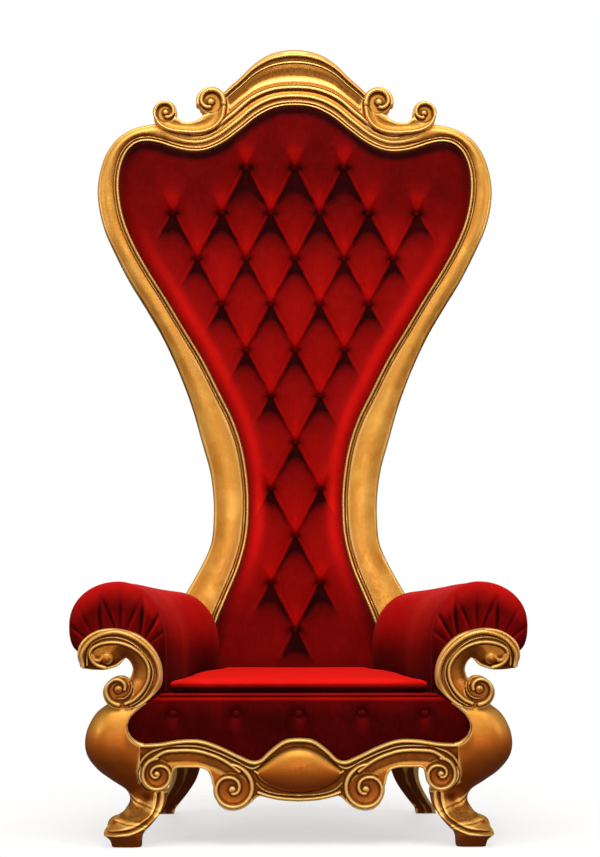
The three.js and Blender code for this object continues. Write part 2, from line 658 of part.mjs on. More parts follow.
function leaningBack() {
  const back = new THREE.Group();
  back.position.set(0, BACK_PIVOT_Y, BACK_PIVOT_Z);
  back.rotation.x = -BACK_LEAN;
  const [armA, armB] = armsSeenFromBack();
  const cushion = toGeometry(backCushion().subtract(armA).subtract(armB));
  back.add(part('back_frame', backFrame(), GOLD));
  back.add(part('back_cushion', cushion, VELVET));
  back.add(part('back_cover', backCover(), VELVET));
  back.add(...backButtons());
  return back;
}

const throne = new THREE.Group();
throne.name = 'throne';
throne.add(leaningBack());
throne.add(part('front_apron', frontApron(), GOLD));
throne.add(...pair('front_leg', frontLeg(), GOLD));
throne.add(...pair('back_leg', backLeg(), DARK_GOLD));
throne.add(...pair('side_rail', sideRail(), GOLD));
throne.add(...pair('arm', arm(), VELVET));
throne.add(...pair('arm_scroll', armScroll(), GOLD));
throne.add(part('seat_base', seatBase(), VELVET));
throne.add(part('seat_cushion', seatCushion(), VELVET));
throne.add(...borderButtons());

export default throne;
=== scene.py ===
"""Looks of a high-backed ceremonial throne: gilded carved wood and buttoned red velvet.

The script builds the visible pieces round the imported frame, in metres, in the frame's own axes: +Z up, the
front towards -Y. Drawings are in millimetres, as a maker's drawing is, and are turned into metres once.
"""

from __future__ import annotations

import logging
import math
from collections.abc import Callable, Sequence
from dataclasses import dataclass
from enum import Enum
from functools import partial

import bmesh
import bpy
import numpy as np
from bmesh.types import BMesh, BMVert
from bpy.types import Material, Node, NodeSocket, NodeTree, Object
from mathutils import Matrix, Vector

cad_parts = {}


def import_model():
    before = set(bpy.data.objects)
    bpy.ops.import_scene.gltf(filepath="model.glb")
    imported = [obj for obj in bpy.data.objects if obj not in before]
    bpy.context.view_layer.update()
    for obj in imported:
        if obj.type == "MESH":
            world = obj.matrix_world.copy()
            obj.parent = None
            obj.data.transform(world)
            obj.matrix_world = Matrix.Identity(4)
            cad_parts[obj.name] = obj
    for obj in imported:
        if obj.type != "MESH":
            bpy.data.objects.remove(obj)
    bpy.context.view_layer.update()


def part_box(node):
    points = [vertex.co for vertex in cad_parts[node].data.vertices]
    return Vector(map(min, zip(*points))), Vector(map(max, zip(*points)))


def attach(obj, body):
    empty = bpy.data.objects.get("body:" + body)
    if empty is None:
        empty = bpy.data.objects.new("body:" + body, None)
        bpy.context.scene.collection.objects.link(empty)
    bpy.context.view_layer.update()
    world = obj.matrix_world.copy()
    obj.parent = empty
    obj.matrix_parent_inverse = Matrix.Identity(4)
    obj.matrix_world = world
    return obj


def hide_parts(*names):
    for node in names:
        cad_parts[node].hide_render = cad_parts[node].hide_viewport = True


log = logging.getLogger("throne")

MM = 0.001
ARM_START = 12.0  # depth of the arms' front faces behind the front plane
BACK_DEPTH = 640.0  # depth of the back's face behind the front plane, at the pivot
PIVOT_HEIGHT = 447.0  # height about which the back leans
ABSENT = -1e3  # height of a raised form where it isn't
Array = np.ndarray
Points = Sequence[Sequence[float]]
Colour = tuple[float, float, float, float]
Relief = Callable[[Array], Array]


class Side(Enum):
    """A side of the throne, as seen from the front."""

    LEFT = -1
    RIGHT = 1

    @property
    def word(self) -> str:
        """Name of the side, as the frame's nodes spell it."""
        return self.name.lower()


class Slot(Enum):
    """Material slots."""

    GILDING = "gilding"
    DARK_GILDING = "dark_gilding"
    VELVET = "velvet"
    COVER_CLOTH = "cover_cloth"


# ---- lines and fields


def through(points: Points, per_span: int = 8) -> Array:
    """Centripetal Catmull-Rom line through points.

    Args:
        points: The points, of any dimension.
        per_span: Steps between one point and the next.

    Returns:
        The line's points, one row each.
    """
    p = np.asarray(points, dtype=float)
    p = np.vstack([2 * p[0] - p[1], p, 2 * p[-1] - p[-2]])
    knots = np.concatenate([[0.0], np.cumsum(np.linalg.norm(np.diff(p, axis=0), axis=1) ** 0.5)])
    line = []
    for i in range(1, len(p) - 2):
        t = np.linspace(knots[i], knots[i + 1], per_span, endpoint=False)[:, None]
        k = knots[i - 1 : i + 3]
        a = [(k[j + 1] - t) / (k[j + 1] - k[j]) * p[i - 1 + j] + (t - k[j]) / (k[j + 1] - k[j]) * p[i + j]
             for j in range(3)]
        b = [(k[j + 2] - t) / (k[j + 2] - k[j]) * a[j] + (t - k[j]) / (k[j + 2] - k[j]) * a[j + 1]
             for j in range(2)]
        line.append((k[2] - t) / (k[2] - k[1]) * b[0] + (t - k[1]) / (k[2] - k[1]) * b[1])
    line.append(p[-2:-1])
    return np.vstack(line)


def evenly(line: Array, count: int) -> Array:
    """The same line with points at equal distances.

    Args:
        line: Points of an open line.
        count: Number of points wanted.

    Returns:
        The new points.
    """
    reach = np.concatenate([[0.0], np.cumsum(np.linalg.norm(np.diff(line, axis=0), axis=1))])
    at = np.linspace(0.0, reach[-1], count)
    return np.column_stack([np.interp(at, reach, line[:, k]) for k in range(line.shape[1])])


def arc(centre: Sequence[float], radius: float, start: float, end: float, steps: int) -> Array:
    """Points of a circular arc; the angles are in degrees."""
    angle = np.radians(np.linspace(start, end, steps + 1))
    return np.column_stack([centre[0] + radius * np.cos(angle), centre[1] + radius * np.sin(angle)])


def nearest(points: Array, line: Array, reach: float = np.inf) -> tuple[Array, Array]:
    """Distance from each point to a line, and how far along the line its nearest point is.

    Args:
        points: Points in a plane.
        line: Points of an open line in the same plane.
        reach: Distance beyond which a point may be left out; it then counts as endlessly far.

    Returns:
        The distances, and the shares of the line's length, from 0 to 1.
    """
    best = np.full(len(points), np.inf)
    along = np.zeros(len(points))
    lengths = np.linalg.norm(np.diff(line, axis=0), axis=1)
    travelled = np.concatenate([[0.0], np.cumsum(lengths)])
    for first in range(0, len(lengths), 6):
        stretch = line[first : first + 7]
        low, high = stretch.min(axis=0) - reach, stretch.max(axis=0) + reach
        near = np.all((points > low) & (points < high), axis=1)
        chosen = np.flatnonzero(near)
        if not len(chosen):
            continue
        spots = points[chosen]
        for i in range(first, min(first + 6, len(lengths))):
            direction = (line[i + 1] - line[i]) / max(lengths[i], 1e-9)
            offset = spots - line[i]
            at = np.clip(offset @ direction, 0.0, lengths[i])
            distance = np.hypot(offset[:, 0] - at * direction[0], offset[:, 1] - at * direction[1])
            closer = distance < best[chosen]
            best[chosen[closer]] = distance[closer]
            along[chosen[closer]] = (travelled[i] + at[closer]) / travelled[-1]
    return best, along


def inside(points: Array, outline: Array) -> Array:
    """Whether each point lies inside a closed outline; the points stand in level rows.

    Args:
        points: Drawn points.
        outline: Closed outline.

    Returns:
        One truth value per point.
    """
    within = np.zeros(len(points), dtype=bool)
    ahead = np.roll(outline, -1, axis=0)
    levels, row_of = np.unique(np.round(points[:, 1], 4), return_inverse=True)
    order = np.argsort(row_of, kind="stable")
    ends = np.searchsorted(row_of[order], np.arange(len(levels) + 1))
    for level, start, end in zip(levels, ends, ends[1:]):
        crosses = (outline[:, 1] > level) != (ahead[:, 1] > level)
        low, high = outline[crosses], ahead[crosses]
        share = (level - low[:, 1]) / (high[:, 1] - low[:, 1])
        walls = np.sort(low[:, 0] + share * (high[:, 0] - low[:, 0]))
        row = order[start:end]
        within[row] = np.searchsorted(walls, points[row, 0]) % 2 == 1
    return within


def ramp(value: Array, low: float, high: float) -> Array:
    """Smooth step from 0 at low to 1 at high."""
    t = np.clip((value - low) / (high - low), 0.0, 1.0)
    return t * t * (3 - 2 * t)


def bell(value: Array, width: float) -> Array:
    """1 where the value is zero, fading smoothly on both sides."""
    return np.exp(-((value / width) ** 2))


def dome(share: Array) -> Array:
    """Quarter circle: 1 where the share is 0, and 0 where it is 1 or more."""
    return np.sqrt(np.clip(1 - share**2, 0.0, 1.0))


def away_from(points: Array, spot: Sequence[float]) -> Array:
    """Distance of each point from a spot in the same plane."""
    return np.hypot(points[:, 0] - spot[0], points[:, 1] - spot[1])


def unit(vectors: Array) -> Array:
    """The same directions, each of length 1."""
    return vectors / np.linalg.norm(vectors, axis=1)[:, None]


def looped(outline: Array) -> Array:
    """The outline with its first point again at its end."""
    return np.vstack([outline, outline[:1]])


def mirrored(half: Array) -> Array:
    """Closed outline from its half at x >= 0, whose two ends lie on the axis."""
    left = half[1:-1][::-1] * np.array([-1.0, 1.0])
    return np.vstack([half, left])


@dataclass(frozen=True)
class Bead:
    """Raised rounded line of a carving, in millimetres."""

    line: Array
    width: float
    height: float
    end_share: float = 1.0
    ground: float = 0.0

    def relief(self, points: Array) -> Array:
        """Height of the bead at each point, far below zero away from it.

        Args:
            points: Drawn points.

        Returns:
            The heights.
        """
        distance, along = nearest(points, self.line, self.width)
        scale = 1.0 + (self.end_share - 1.0) * along
        across = np.clip(2 * distance / (self.width * scale), 0.0, 1.0)
        return np.where(across < 1.0, self.ground + self.height * scale * dome(across), ABSENT)


@dataclass(frozen=True)
class Dome:
    """Raised round or oval boss of a carving, in millimetres."""

    centre: tuple[float, float]
    radius: tuple[float, float]
    height: float
    ground: float = 0.0

    def relief(self, points: Array) -> Array:
        """Height of the boss at each point, far below zero away from it.

        Args:
            points: Drawn points.

        Returns:
            The heights.
        """
        across = np.hypot((points[:, 0] - self.centre[0]) / self.radius[0],
                          (points[:, 1] - self.centre[1]) / self.radius[1])
        return np.where(across < 1.0, self.ground + self.height * dome(across), ABSENT)


def volute(centre: tuple[float, float], radii: Sequence[float], start: float, hand: int, height: float,
           width: float, eye: float) -> list[Bead | Dome]:
    """Rolled end of a scroll: a ribbon that winds in to a round eye.

    Args:
        centre: Middle of the volute.
        radii: Distance of the ribbon from the middle, at each quarter turn from its start.
        start: Angle where the ribbon comes in, in degrees.
        hand: 1 to wind anticlockwise, -1 for clockwise.
        height: Height of the ribbon.
        width: Width of the ribbon.
        eye: Radius of the eye.

    Returns:
        The raised forms.
    """
    steps = 14
    at = np.linspace(0.0, len(radii) - 1.0, steps * len(radii))
    reach = through(np.column_stack([np.arange(len(radii)), radii]), steps)
    reach = np.interp(at, reach[:, 0], reach[:, 1])
    angle = np.radians(start + hand * 90.0 * at)
    ribbon = np.column_stack([centre[0] + reach * np.cos(angle), centre[1] + reach * np.sin(angle)])
    return [Bead(ribbon, width, height, 0.75), Dome(centre, (eye, eye), height * 0.8)]


def highest(ground: Array, forms: Sequence[Bead | Dome], points: Array) -> Array:
    """The ground with raised forms laid on it.

    Args:
        ground: Height of the ground at each point.
        forms: The raised forms.
        points: Drawn points.

    Returns:
        The heights.
    """
    top = ground.copy()
    for form in forms:
        top = np.maximum(top, form.relief(points))
    return top


# ---- meshes


def new_object(name: str, bm: BMesh, sharp_degrees: float = 55.0) -> Object:
    """Object with the bmesh's shape, shaded smooth apart from its sharp edges.

    Args:
        name: The object's name.
        bm: The shape; it is freed.
        sharp_degrees: Edges that turn by more than this stay sharp.

    Returns:
        The object, linked to the scene.
    """
    limit = math.radians(sharp_degrees)
    for face in bm.faces:
        face.smooth = True
    for edge in bm.edges:
        if edge.is_manifold and edge.calc_face_angle(0.0) > limit:
            edge.smooth = False
    mesh = bpy.data.meshes.new(name)
    bm.to_mesh(mesh)
    bm.free()
    made = bpy.data.objects.new(name, mesh)
    bpy.context.scene.collection.objects.link(made)
    return made


def grid(rings: Array) -> BMesh:
    """Sheet of quads whose rows and columns sit at the given points.

    Args:
        rings: The points, by row and column.

    Returns:
        The sheet.
    """
    rows, columns, _ = rings.shape
    bm = bmesh.new()
    bmesh.ops.create_grid(bm, x_segments=columns - 1, y_segments=rows - 1, size=1.0)
    for vert, point in zip(bm.verts, rings.reshape(-1, 3)):
        vert.co = point
    return bm


def close_up(bm: BMesh) -> None:
    """Joins seams, fills open ends and turns every face outwards.

    Args:
        bm: The body.
    """
    bmesh.ops.remove_doubles(bm, verts=bm.verts, dist=1e-6)
    bmesh.ops.holes_fill(bm, edges=[e for e in bm.edges if e.is_boundary], sides=0)
    bmesh.ops.recalc_face_normals(bm, faces=bm.faces)


def tube(rings: Array) -> BMesh:
    """Closed body through rings of points, each ring going once round.

    Args:
        rings: The points, by ring and place round the ring.

    Returns:
        The body, filled at both ends.
    """
    bm = grid(np.concatenate([rings, rings[:, :1]], axis=1))
    close_up(bm)
    return bm


def join(target: BMesh, other: BMesh) -> None:
    """Adds another bmesh's shape to a bmesh and frees the other.

    Args:
        target: The shape that grows.
        other: The shape to add.
    """
    passing = bpy.data.meshes.new("passing")
    other.to_mesh(passing)
    other.free()
    target.from_mesh(passing)
    bpy.data.meshes.remove(passing)


def for_side(bm: BMesh, side: Side) -> BMesh:
    """Turns a body drawn for the right side into its mirror image, if it is for the left.

    Args:
        bm: The body.
        side: Side of the throne.

    Returns:
        The same body.
    """
    if side is Side.LEFT:
        bmesh.ops.scale(bm, vec=(-1, 1, 1), verts=bm.verts)
        bmesh.ops.reverse_faces(bm, faces=bm.faces)
    return bm


def upright(flat: Array, depth: Array | float) -> Array:
    """Ring of points drawn across and up, set at a depth."""
    return np.column_stack([flat[:, 0], np.broadcast_to(depth, len(flat)), flat[:, 1]])


def in_plan(flat: Array, height: float) -> Array:
    """Ring of points drawn in plan, set at a height."""
    return np.column_stack([flat, np.full(len(flat), height)])


@dataclass
class Carving:
    """Slab whose front carries a relief. Drawn in millimetres: across and up, heights to the viewer.

    Attributes:
        outline: Closed outline.
        back: Depth of the slab's back behind the ground plane.
        near: Depth of the ground plane in the drawing.
        cell: Size of the mesh's cells.
        rounding: Radius of the rounded front edge.
        joint: Distance from the middle beyond which the edge runs into a neighbour and stays square.
    """

    outline: Array
    back: float
    near: float = 0.0
    cell: float = 1.8
    rounding: float = 6.0
    joint: float = np.inf

    def build(self, relief: Relief) -> BMesh:
        """Builds the slab.

        Args:
            relief: Height of the front at each point.

        Returns:
            The closed slab in millimetres: x across, -y towards the viewer, z up.
        """
        low, high = self.outline.min(axis=0), self.outline.max(axis=0)
        columns, rows = np.ceil((high - low) / self.cell).astype(int) + 1
        bm = bmesh.new()
        bmesh.ops.create_grid(bm, x_segments=columns, y_segments=rows, size=0.5)
        middle, size = (low + high) / 2, np.array([columns, rows]) * self.cell
        for vert in bm.verts:
            vert.co = (middle[0] + vert.co.x * size[0], 0.0, middle[1] + vert.co.y * size[1])
        centres = np.array([f.calc_center_median().xz for f in bm.faces])
        kept = inside(centres, self.outline)
        bmesh.ops.delete(bm, geom=[f for f, keep in zip(bm.faces, kept) if not keep], context="FACES")
        self._trim(bm)
        self._raise(bm, relief)
        rim = [e for e in bm.edges if e.is_boundary]
        pushed = bmesh.ops.extrude_edge_only(bm, edges=rim)["geom"]
        for vert in (v for v in pushed if isinstance(v, BMVert)):
            vert.co.y = self.back
        close_up(bm)
        bmesh.ops.translate(bm, vec=(0, self.near, 0), verts=bm.verts)
        return bm

    def _trim(self, bm: BMesh) -> None:
        """Moves the ragged rim onto the outline.

        Args:
            bm: The body.
        """
        closed = looped(self.outline)
        dense = evenly(closed, int(4 * len(closed)) + 800)
        for vert in (v for v in bm.verts if v.is_boundary):
            vert.co.x, vert.co.z = dense[int(np.argmin(away_from(dense, vert.co.xz)))]

    def _raise(self, bm: BMesh, relief: Relief) -> None:
        """Lifts the front to the relief, with its edge rounded over.

        Args:
            bm: The body.
            relief: Height of the front at each point.
        """
        flat = np.array([v.co.xz for v in bm.verts])
        distance, _ = nearest(flat, looped(self.outline), self.rounding)
        near = np.clip(distance / self.rounding, 0.0, 1.0)
        drop = self.rounding * (1 - dome(1 - near))
        height = relief(flat) - np.where(np.abs(flat[:, 0]) < self.joint, drop, 0.0)
        for vert, value in zip(bm.verts, height):
            vert.co.y = -value


DEEP_HOLLOW = 1.6 * MM  # depth below its surroundings at which a hollow is fully toned


def mark_hollows_and_shade(piece: Object, passes: int = 4, extra: Array | float = 0.0) -> None:
    """Stores how hollow or proud the surface is at each point, with painted shade and highlights added, as
    an attribute.

    Near the floor, on faces that don't look up, the warm ground colour is marked as painted shade, in a
    second attribute.

    Args:
        piece: The piece; 0.5 is flat, more is sunk or in painted shade, and less is an edge or a painted
            highlight.
        passes: Smoothing passes, which set the size of the forms that count.
        extra: Painted shade and highlights, and tone, added to that at each point.
    """
    co, normal = points_of(piece), normals_of(piece)
    count = len(co)
    ends = np.empty(len(piece.data.edges) * 2, dtype=np.int64)
    piece.data.edges.foreach_get("vertices", ends)
    a, b = ends[0::2], ends[1::2]
    degree = np.maximum(np.bincount(a, minlength=count) + np.bincount(b, minlength=count), 1)[:, None]

    def averaged(values: Array) -> Array:
        """Mean of each point's neighbours.

        Args:
            values: One row per point.

        Returns:
            The means.
        """
        total = np.zeros_like(values)
        for k in range(values.shape[1]):
            total[:, k] = np.bincount(a, values[b, k], count) + np.bincount(b, values[a, k], count)
        return total / degree

    smooth = co
    for _ in range(passes):
        smooth = averaged(smooth)
    depth = ((smooth - co) * normal).sum(axis=1, keepdims=True)
    depth = averaged(averaged(depth))[:, 0]
    mark(piece, "hollow", np.clip(0.5 + depth / (2 * DEEP_HOLLOW) + extra, 0.0, 1.0))
    # Painted shade: faces low down that don't look up are marked for the warm ground colour.
    mark(piece, "warmth_and_shade", (1 - ramp(co[:, 2], 0.30, 0.85)) * (1 - ramp(normal[:, 2], 0.05, 0.75)))


def mark(piece: Object, name: str, values: Array) -> None:
    """Stores one number per point as a named attribute."""
    piece.data.attributes.new(name, "FLOAT", "POINT").data.foreach_set("value", values)


def read_rows(mesh: bpy.types.Mesh, name: str) -> Array:
    """Reads a vector at each point of a mesh, by name.

    Args:
        mesh: The mesh.
        name: Name of the vector, such as "co".

    Returns:
        One row per point.
    """
    flat = np.empty(len(mesh.vertices) * 3)
    mesh.vertices.foreach_get(name, flat)
    return flat.reshape(-1, 3)


def points_of(piece: Object) -> Array:
    """The points of a piece's mesh, in metres."""
    return read_rows(piece.data, "co")


def normals_of(piece: Object) -> Array:
    """The normals at the points of a piece's mesh."""
    return read_rows(piece.data, "normal")


# ---- finishes


class Tree:
    """Node tree with short calls for adding and wiring nodes."""

    def __init__(self, tree: NodeTree) -> None:
        """Keeps the node tree that is to be filled."""
        self.tree = tree

    def node(self, kind: str, **settings: object) -> Node:
        """Adds a node and sets its properties.

        Args:
            kind: The node's type.
            **settings: Its properties by name.

        Returns:
            The node.
        """
        made = self.tree.nodes.new(kind)
        for name, value in settings.items():
            setattr(made, name, value)
        return made

    def wire(self, source: object, target: object) -> None:
        """Joins an output to an input, or sets the input to a plain value.

        Args:
            source: An output, or a plain value.
            target: The input.
        """
        if isinstance(source, NodeSocket):
            self.tree.links.new(source, target)
        else:
            target.default_value = source

    def feed(self, made: Node, inputs: dict[object, object]) -> Node:
        """Wires or sets a node's inputs.

        Args:
            made: The node.
            inputs: Outputs or plain values, by input.

        Returns:
            The same node.
        """
        for name, value in inputs.items():
            self.wire(value, made.inputs[name])
        return made

    def math(self, operation: str, a: object, b: object = 0.0, clamp: bool = False) -> NodeSocket:
        """Adds a Math node."""
        made = self.node("ShaderNodeMath", operation=operation, use_clamp=clamp)
        return self.feed(made, {0: a, 1: b}).outputs[0]

    def offset(self, value: object, amount: float) -> NodeSocket:
        """Turns a value about 0.5 into one about 0, and scales it."""
        return self.math("MULTIPLY", self.math("SUBTRACT", value, 0.5), amount)

    def weighed(self, a: object, share_a: float, b: object, share_b: float) -> NodeSocket:
        """Adds shares of two values."""
        return self.math("ADD", self.math("MULTIPLY", a, share_a), self.math("MULTIPLY", b, share_b))

    def blend(self, share: object, a: object, b: object) -> NodeSocket:
        """Mixes two colours."""
        made = self.node("ShaderNodeMix", data_type="RGBA")
        return self.feed(made, {"Factor": share, "A": a, "B": b}).outputs["Result"]

    def span(self, value: object, low: float, high: float, to_low: float = 0.0,
             to_high: float = 1.0) -> NodeSocket:
        """Maps a range of a value to another range, clamped."""
        inputs = {"Value": value, "From Min": low, "From Max": high, "To Min": to_low, "To Max": to_high}
        return self.feed(self.node("ShaderNodeMapRange"), inputs).outputs["Result"]

    def noise(self, vector: object, scale: object, detail: float, roughness: float = 0.55,
              distortion: float = 0.0) -> NodeSocket:
        """Adds a noise texture."""
        inputs = dict(Vector=vector, Scale=scale, Detail=detail, Roughness=roughness, Distortion=distortion)
        return self.feed(self.node("ShaderNodeTexNoise"), inputs).outputs["Fac"]

    def attribute(self, name: str) -> NodeSocket:
        """Reads a number that is stored at the points of the mesh."""
        return self.node("ShaderNodeAttribute", attribute_name=name).outputs["Fac"]

    def group(self, source: NodeTree, **inputs: object) -> Node:
        """Adds a shared node group with its inputs."""
        return self.feed(self.node("ShaderNodeGroup", node_tree=source), inputs)

    def bump(self, height: object, strength: float, distance: float) -> NodeSocket:
        """Adds a Bump node and gives its normal."""
        inputs = dict(Height=height, Strength=strength, Distance=distance)
        return self.feed(self.node("ShaderNodeBump"), inputs).outputs["Normal"]


def new_material(name: str) -> tuple[Material, Tree, Node]:
    """Material with its node tree and its main shader.

    Args:
        name: The material's name.

    Returns:
        The material, its tree and its shader.
    """
    made = bpy.data.materials.new(name)
    made.use_nodes = True
    return made, Tree(made.node_tree), made.node_tree.nodes["Principled BSDF"]


def new_group(name: str, inputs: Sequence[tuple[str, str, float]],
              outputs: Sequence[tuple[str, str]]) -> tuple[Tree, Node, Node]:
    """Empty shader node group with its sockets.

    Args:
        name: The group's name.
        inputs: Name, kind and default of each input.
        outputs: Name and kind of each output.

    Returns:
        The group's tree, its input node and its output node.
    """
    group = bpy.data.node_groups.new(name, "ShaderNodeTree")
    for label, kind, default in inputs:
        socket = group.interface.new_socket(name=label, in_out="INPUT", socket_type=kind)
        if kind == "NodeSocketFloat":
            socket.default_value = default
    for label, kind in outputs:
        group.interface.new_socket(name=label, in_out="OUTPUT", socket_type=kind)
    tree = Tree(group)
    return tree, tree.node("NodeGroupInput"), tree.node("NodeGroupOutput")


def build_mottle() -> NodeTree:
    """Group for uneven tone: broad clouds and fine specks.

    Returns:
        The group, with outputs Clouds, Specks and Height.
    """
    tree, given, out = new_group(
        "mottle",
        [("Vector", "NodeSocketVector", 0.0), ("Scale", "NodeSocketFloat", 20.0)],
        [("Clouds", "NodeSocketFloat"), ("Specks", "NodeSocketFloat"), ("Height", "NodeSocketFloat")])
    fine = tree.math("MULTIPLY", given.outputs["Scale"], 9.0)
    clouds = tree.noise(given.outputs["Vector"], given.outputs["Scale"], 4.0, distortion=0.3)
    specks = tree.noise(given.outputs["Vector"], fine, 3.0, 0.6)
    tree.wire(tree.span(clouds, 0.3, 0.7), out.inputs["Clouds"])
    tree.wire(tree.span(specks, 0.42, 0.68), out.inputs["Specks"])
    tree.wire(tree.weighed(clouds, 0.6, specks, 0.4), out.inputs["Height"])
    return tree.tree


def build_wear_and_shade() -> NodeTree:
    """Group for age and painted shade: toning in hollows, rubbed proud edges, and painted shade on faces
    that look down.

    Returns:
        The group, with outputs Toned, Rubbed and Under.
    """
    tree, given, out = new_group(
        "wear_and_shade",
        [("Hollow", "NodeSocketFloat", 0.5), ("Clouds", "NodeSocketFloat", 0.5),
         ("Specks", "NodeSocketFloat", 0.5), ("Amount", "NodeSocketFloat", 1.0)],
        [("Toned", "NodeSocketFloat"), ("Rubbed", "NodeSocketFloat"), ("Under", "NodeSocketFloat")])
    uneven = tree.offset(given.outputs["Clouds"], 0.12)
    level = tree.math("ADD", given.outputs["Hollow"], uneven)
    # The hollow input also carries painted shade and painted highlights, so the toned and rubbed outputs do
    # too.
    toned = tree.math("MULTIPLY", tree.span(level, 0.52, 0.74), given.outputs["Amount"], clamp=True)
    grit = tree.math("MULTIPLY", tree.math("SUBTRACT", 1.0, given.outputs["Specks"]), 0.2)
    tree.wire(tree.math("SUBTRACT", toned, grit, clamp=True), out.inputs["Toned"])
    tree.wire(tree.span(level, 0.43, 0.26), out.inputs["Rubbed"])
    # Painted shade: the more a face looks down, the more it takes the under colour.
    place = tree.node("ShaderNodeNewGeometry")
    parts = tree.node("ShaderNodeSeparateXYZ")
    tree.wire(place.outputs["Normal"], parts.inputs[0])
    facing = tree.math("ADD", parts.outputs["Z"], uneven)
    tree.wire(tree.span(facing, 0.3, -0.55), out.inputs["Under"])
    return tree.tree


def build_pile() -> NodeTree:
    """Group for velvet: painted light and shade, with brushed streaks, crushed patches and fine fibres.

    Returns:
        The group, with outputs Tone, Crush and Height.
    """
    tree, given, out = new_group(
        "pile",
        [("Vector", "NodeSocketVector", 0.0), ("Nap", "NodeSocketFloat", 0.5)],
        [("Tone", "NodeSocketFloat"), ("Crush", "NodeSocketFloat"), ("Height", "NodeSocketFloat")])
    stretched = tree.node("ShaderNodeMapping")
    tree.wire(given.outputs["Vector"], stretched.inputs["Vector"])
    stretched.inputs["Scale"].default_value = (1.0, 1.0, 0.12)
    broad = tree.noise(given.outputs["Vector"], 6.0, 3.0, 0.5, 0.6)
    patch = tree.noise(given.outputs["Vector"], 34.0, 4.0, 0.6, 0.8)
    streak = tree.noise(stretched.outputs["Vector"], 210.0, 3.0, 0.6)
    weave = tree.noise(given.outputs["Vector"], 620.0, 2.0, 0.7)
    uneven = tree.offset(broad, 0.30)
    for noise, share in ((patch, 0.14), (streak, 0.20), (weave, 0.22)):
        uneven = tree.math("ADD", uneven, tree.offset(noise, share))
    # The painted light sets the tone; the noise adds streaks and patches on top, more where it is lit.
    amount = tree.math("ADD", tree.math("MULTIPLY", given.outputs["Nap"], 1.2), 0.25)
    tone = tree.math("ADD", given.outputs["Nap"], tree.math("MULTIPLY", uneven, amount), clamp=True)
    tree.wire(tone, out.inputs["Tone"])
    tree.wire(tree.span(patch, 0.5, 0.72), out.inputs["Crush"])
    tree.wire(tree.weighed(weave, 0.7, patch, 0.3), out.inputs["Height"])
    return tree.tree


@dataclass(frozen=True)
class Gilding:
    """Gold leaf on carved wood, toned down in its hollows, with painted shade on low and downward faces and
    painted highlights on some edges. Colours are linear.
    """

    name: str
    bright: Colour = (0.68, 0.36, 0.072, 1.0)
    warm: Colour = (0.51, 0.205, 0.026, 1.0)
    # Warm ground colour, also used as painted shade low down.
    warmth_and_shade: Colour = (0.40, 0.075, 0.005, 1.0)
    # Colour of toned hollows and of painted shade in sunk grounds.
    toned: Colour = (0.10, 0.019, 0.002, 1.0)
    # Colour of painted shade on faces that look down.
    under: Colour = (0.13, 0.019, 0.001, 1.0)
    # Colour of rubbed edges and of painted highlights.
    rubbed: Colour = (0.92, 0.58, 0.19, 1.0)
    metallic: float = 0.68
    roughness: float = 0.40
    age: float = 0.9
    # How far the painted shade on downward faces goes.
    depth: float = 0.95

    def build(self, groups: dict[str, NodeTree]) -> Material:
        """Builds the material.

        Args:
            groups: The shared node groups by name.

        Returns:
            The material.
        """
        made, tree, shader = new_material(self.name)
        place = tree.node("ShaderNodeTexCoord").outputs["Object"]
        mottle = tree.group(groups["mottle"], Vector=place, Scale=13.0)
        wear_and_shade = tree.group(groups["wear_and_shade"], Hollow=tree.attribute("hollow"), Clouds=mottle.outputs["Clouds"],
                          Specks=mottle.outputs["Specks"], Amount=self.age)
        leaf = tree.blend(mottle.outputs["Clouds"], self.warm, self.bright)
        warmth_and_shade = tree.attribute("warmth_and_shade")
        # Painted shade: the warm ground colour low down, and the under colour on downward faces.
        leaf = tree.blend(tree.math("MULTIPLY", warmth_and_shade, 0.85), leaf, self.warmth_and_shade)
        shaded = tree.blend(tree.math("MULTIPLY", wear_and_shade.outputs["Under"], self.depth), leaf, self.under)
        rubbed = tree.blend(tree.math("MULTIPLY", wear_and_shade.outputs["Rubbed"], 0.75), shaded, self.rubbed)
        colour = tree.blend(wear_and_shade.outputs["Toned"], rubbed, self.toned)
        tree.wire(colour, shader.inputs["Base Color"])
        dull = tree.math("MAXIMUM", wear_and_shade.outputs["Toned"], warmth_and_shade)
        tree.wire(tree.span(dull, 0.0, 1.0, self.metallic, self.metallic * 0.4), shader.inputs["Metallic"])
        rough = tree.weighed(mottle.outputs["Specks"], 0.10, wear_and_shade.outputs["Toned"], 0.3)
        tree.wire(tree.math("ADD", rough, self.roughness), shader.inputs["Roughness"])
        shader.inputs["Specular IOR Level"].default_value = 0.4
        shader.inputs["Specular Tint"].default_value = (1.0, 0.55, 0.16, 1.0)
        tree.wire(tree.bump(mottle.outputs["Height"], 0.2, 1.2 * MM), shader.inputs["Normal"])
        return made


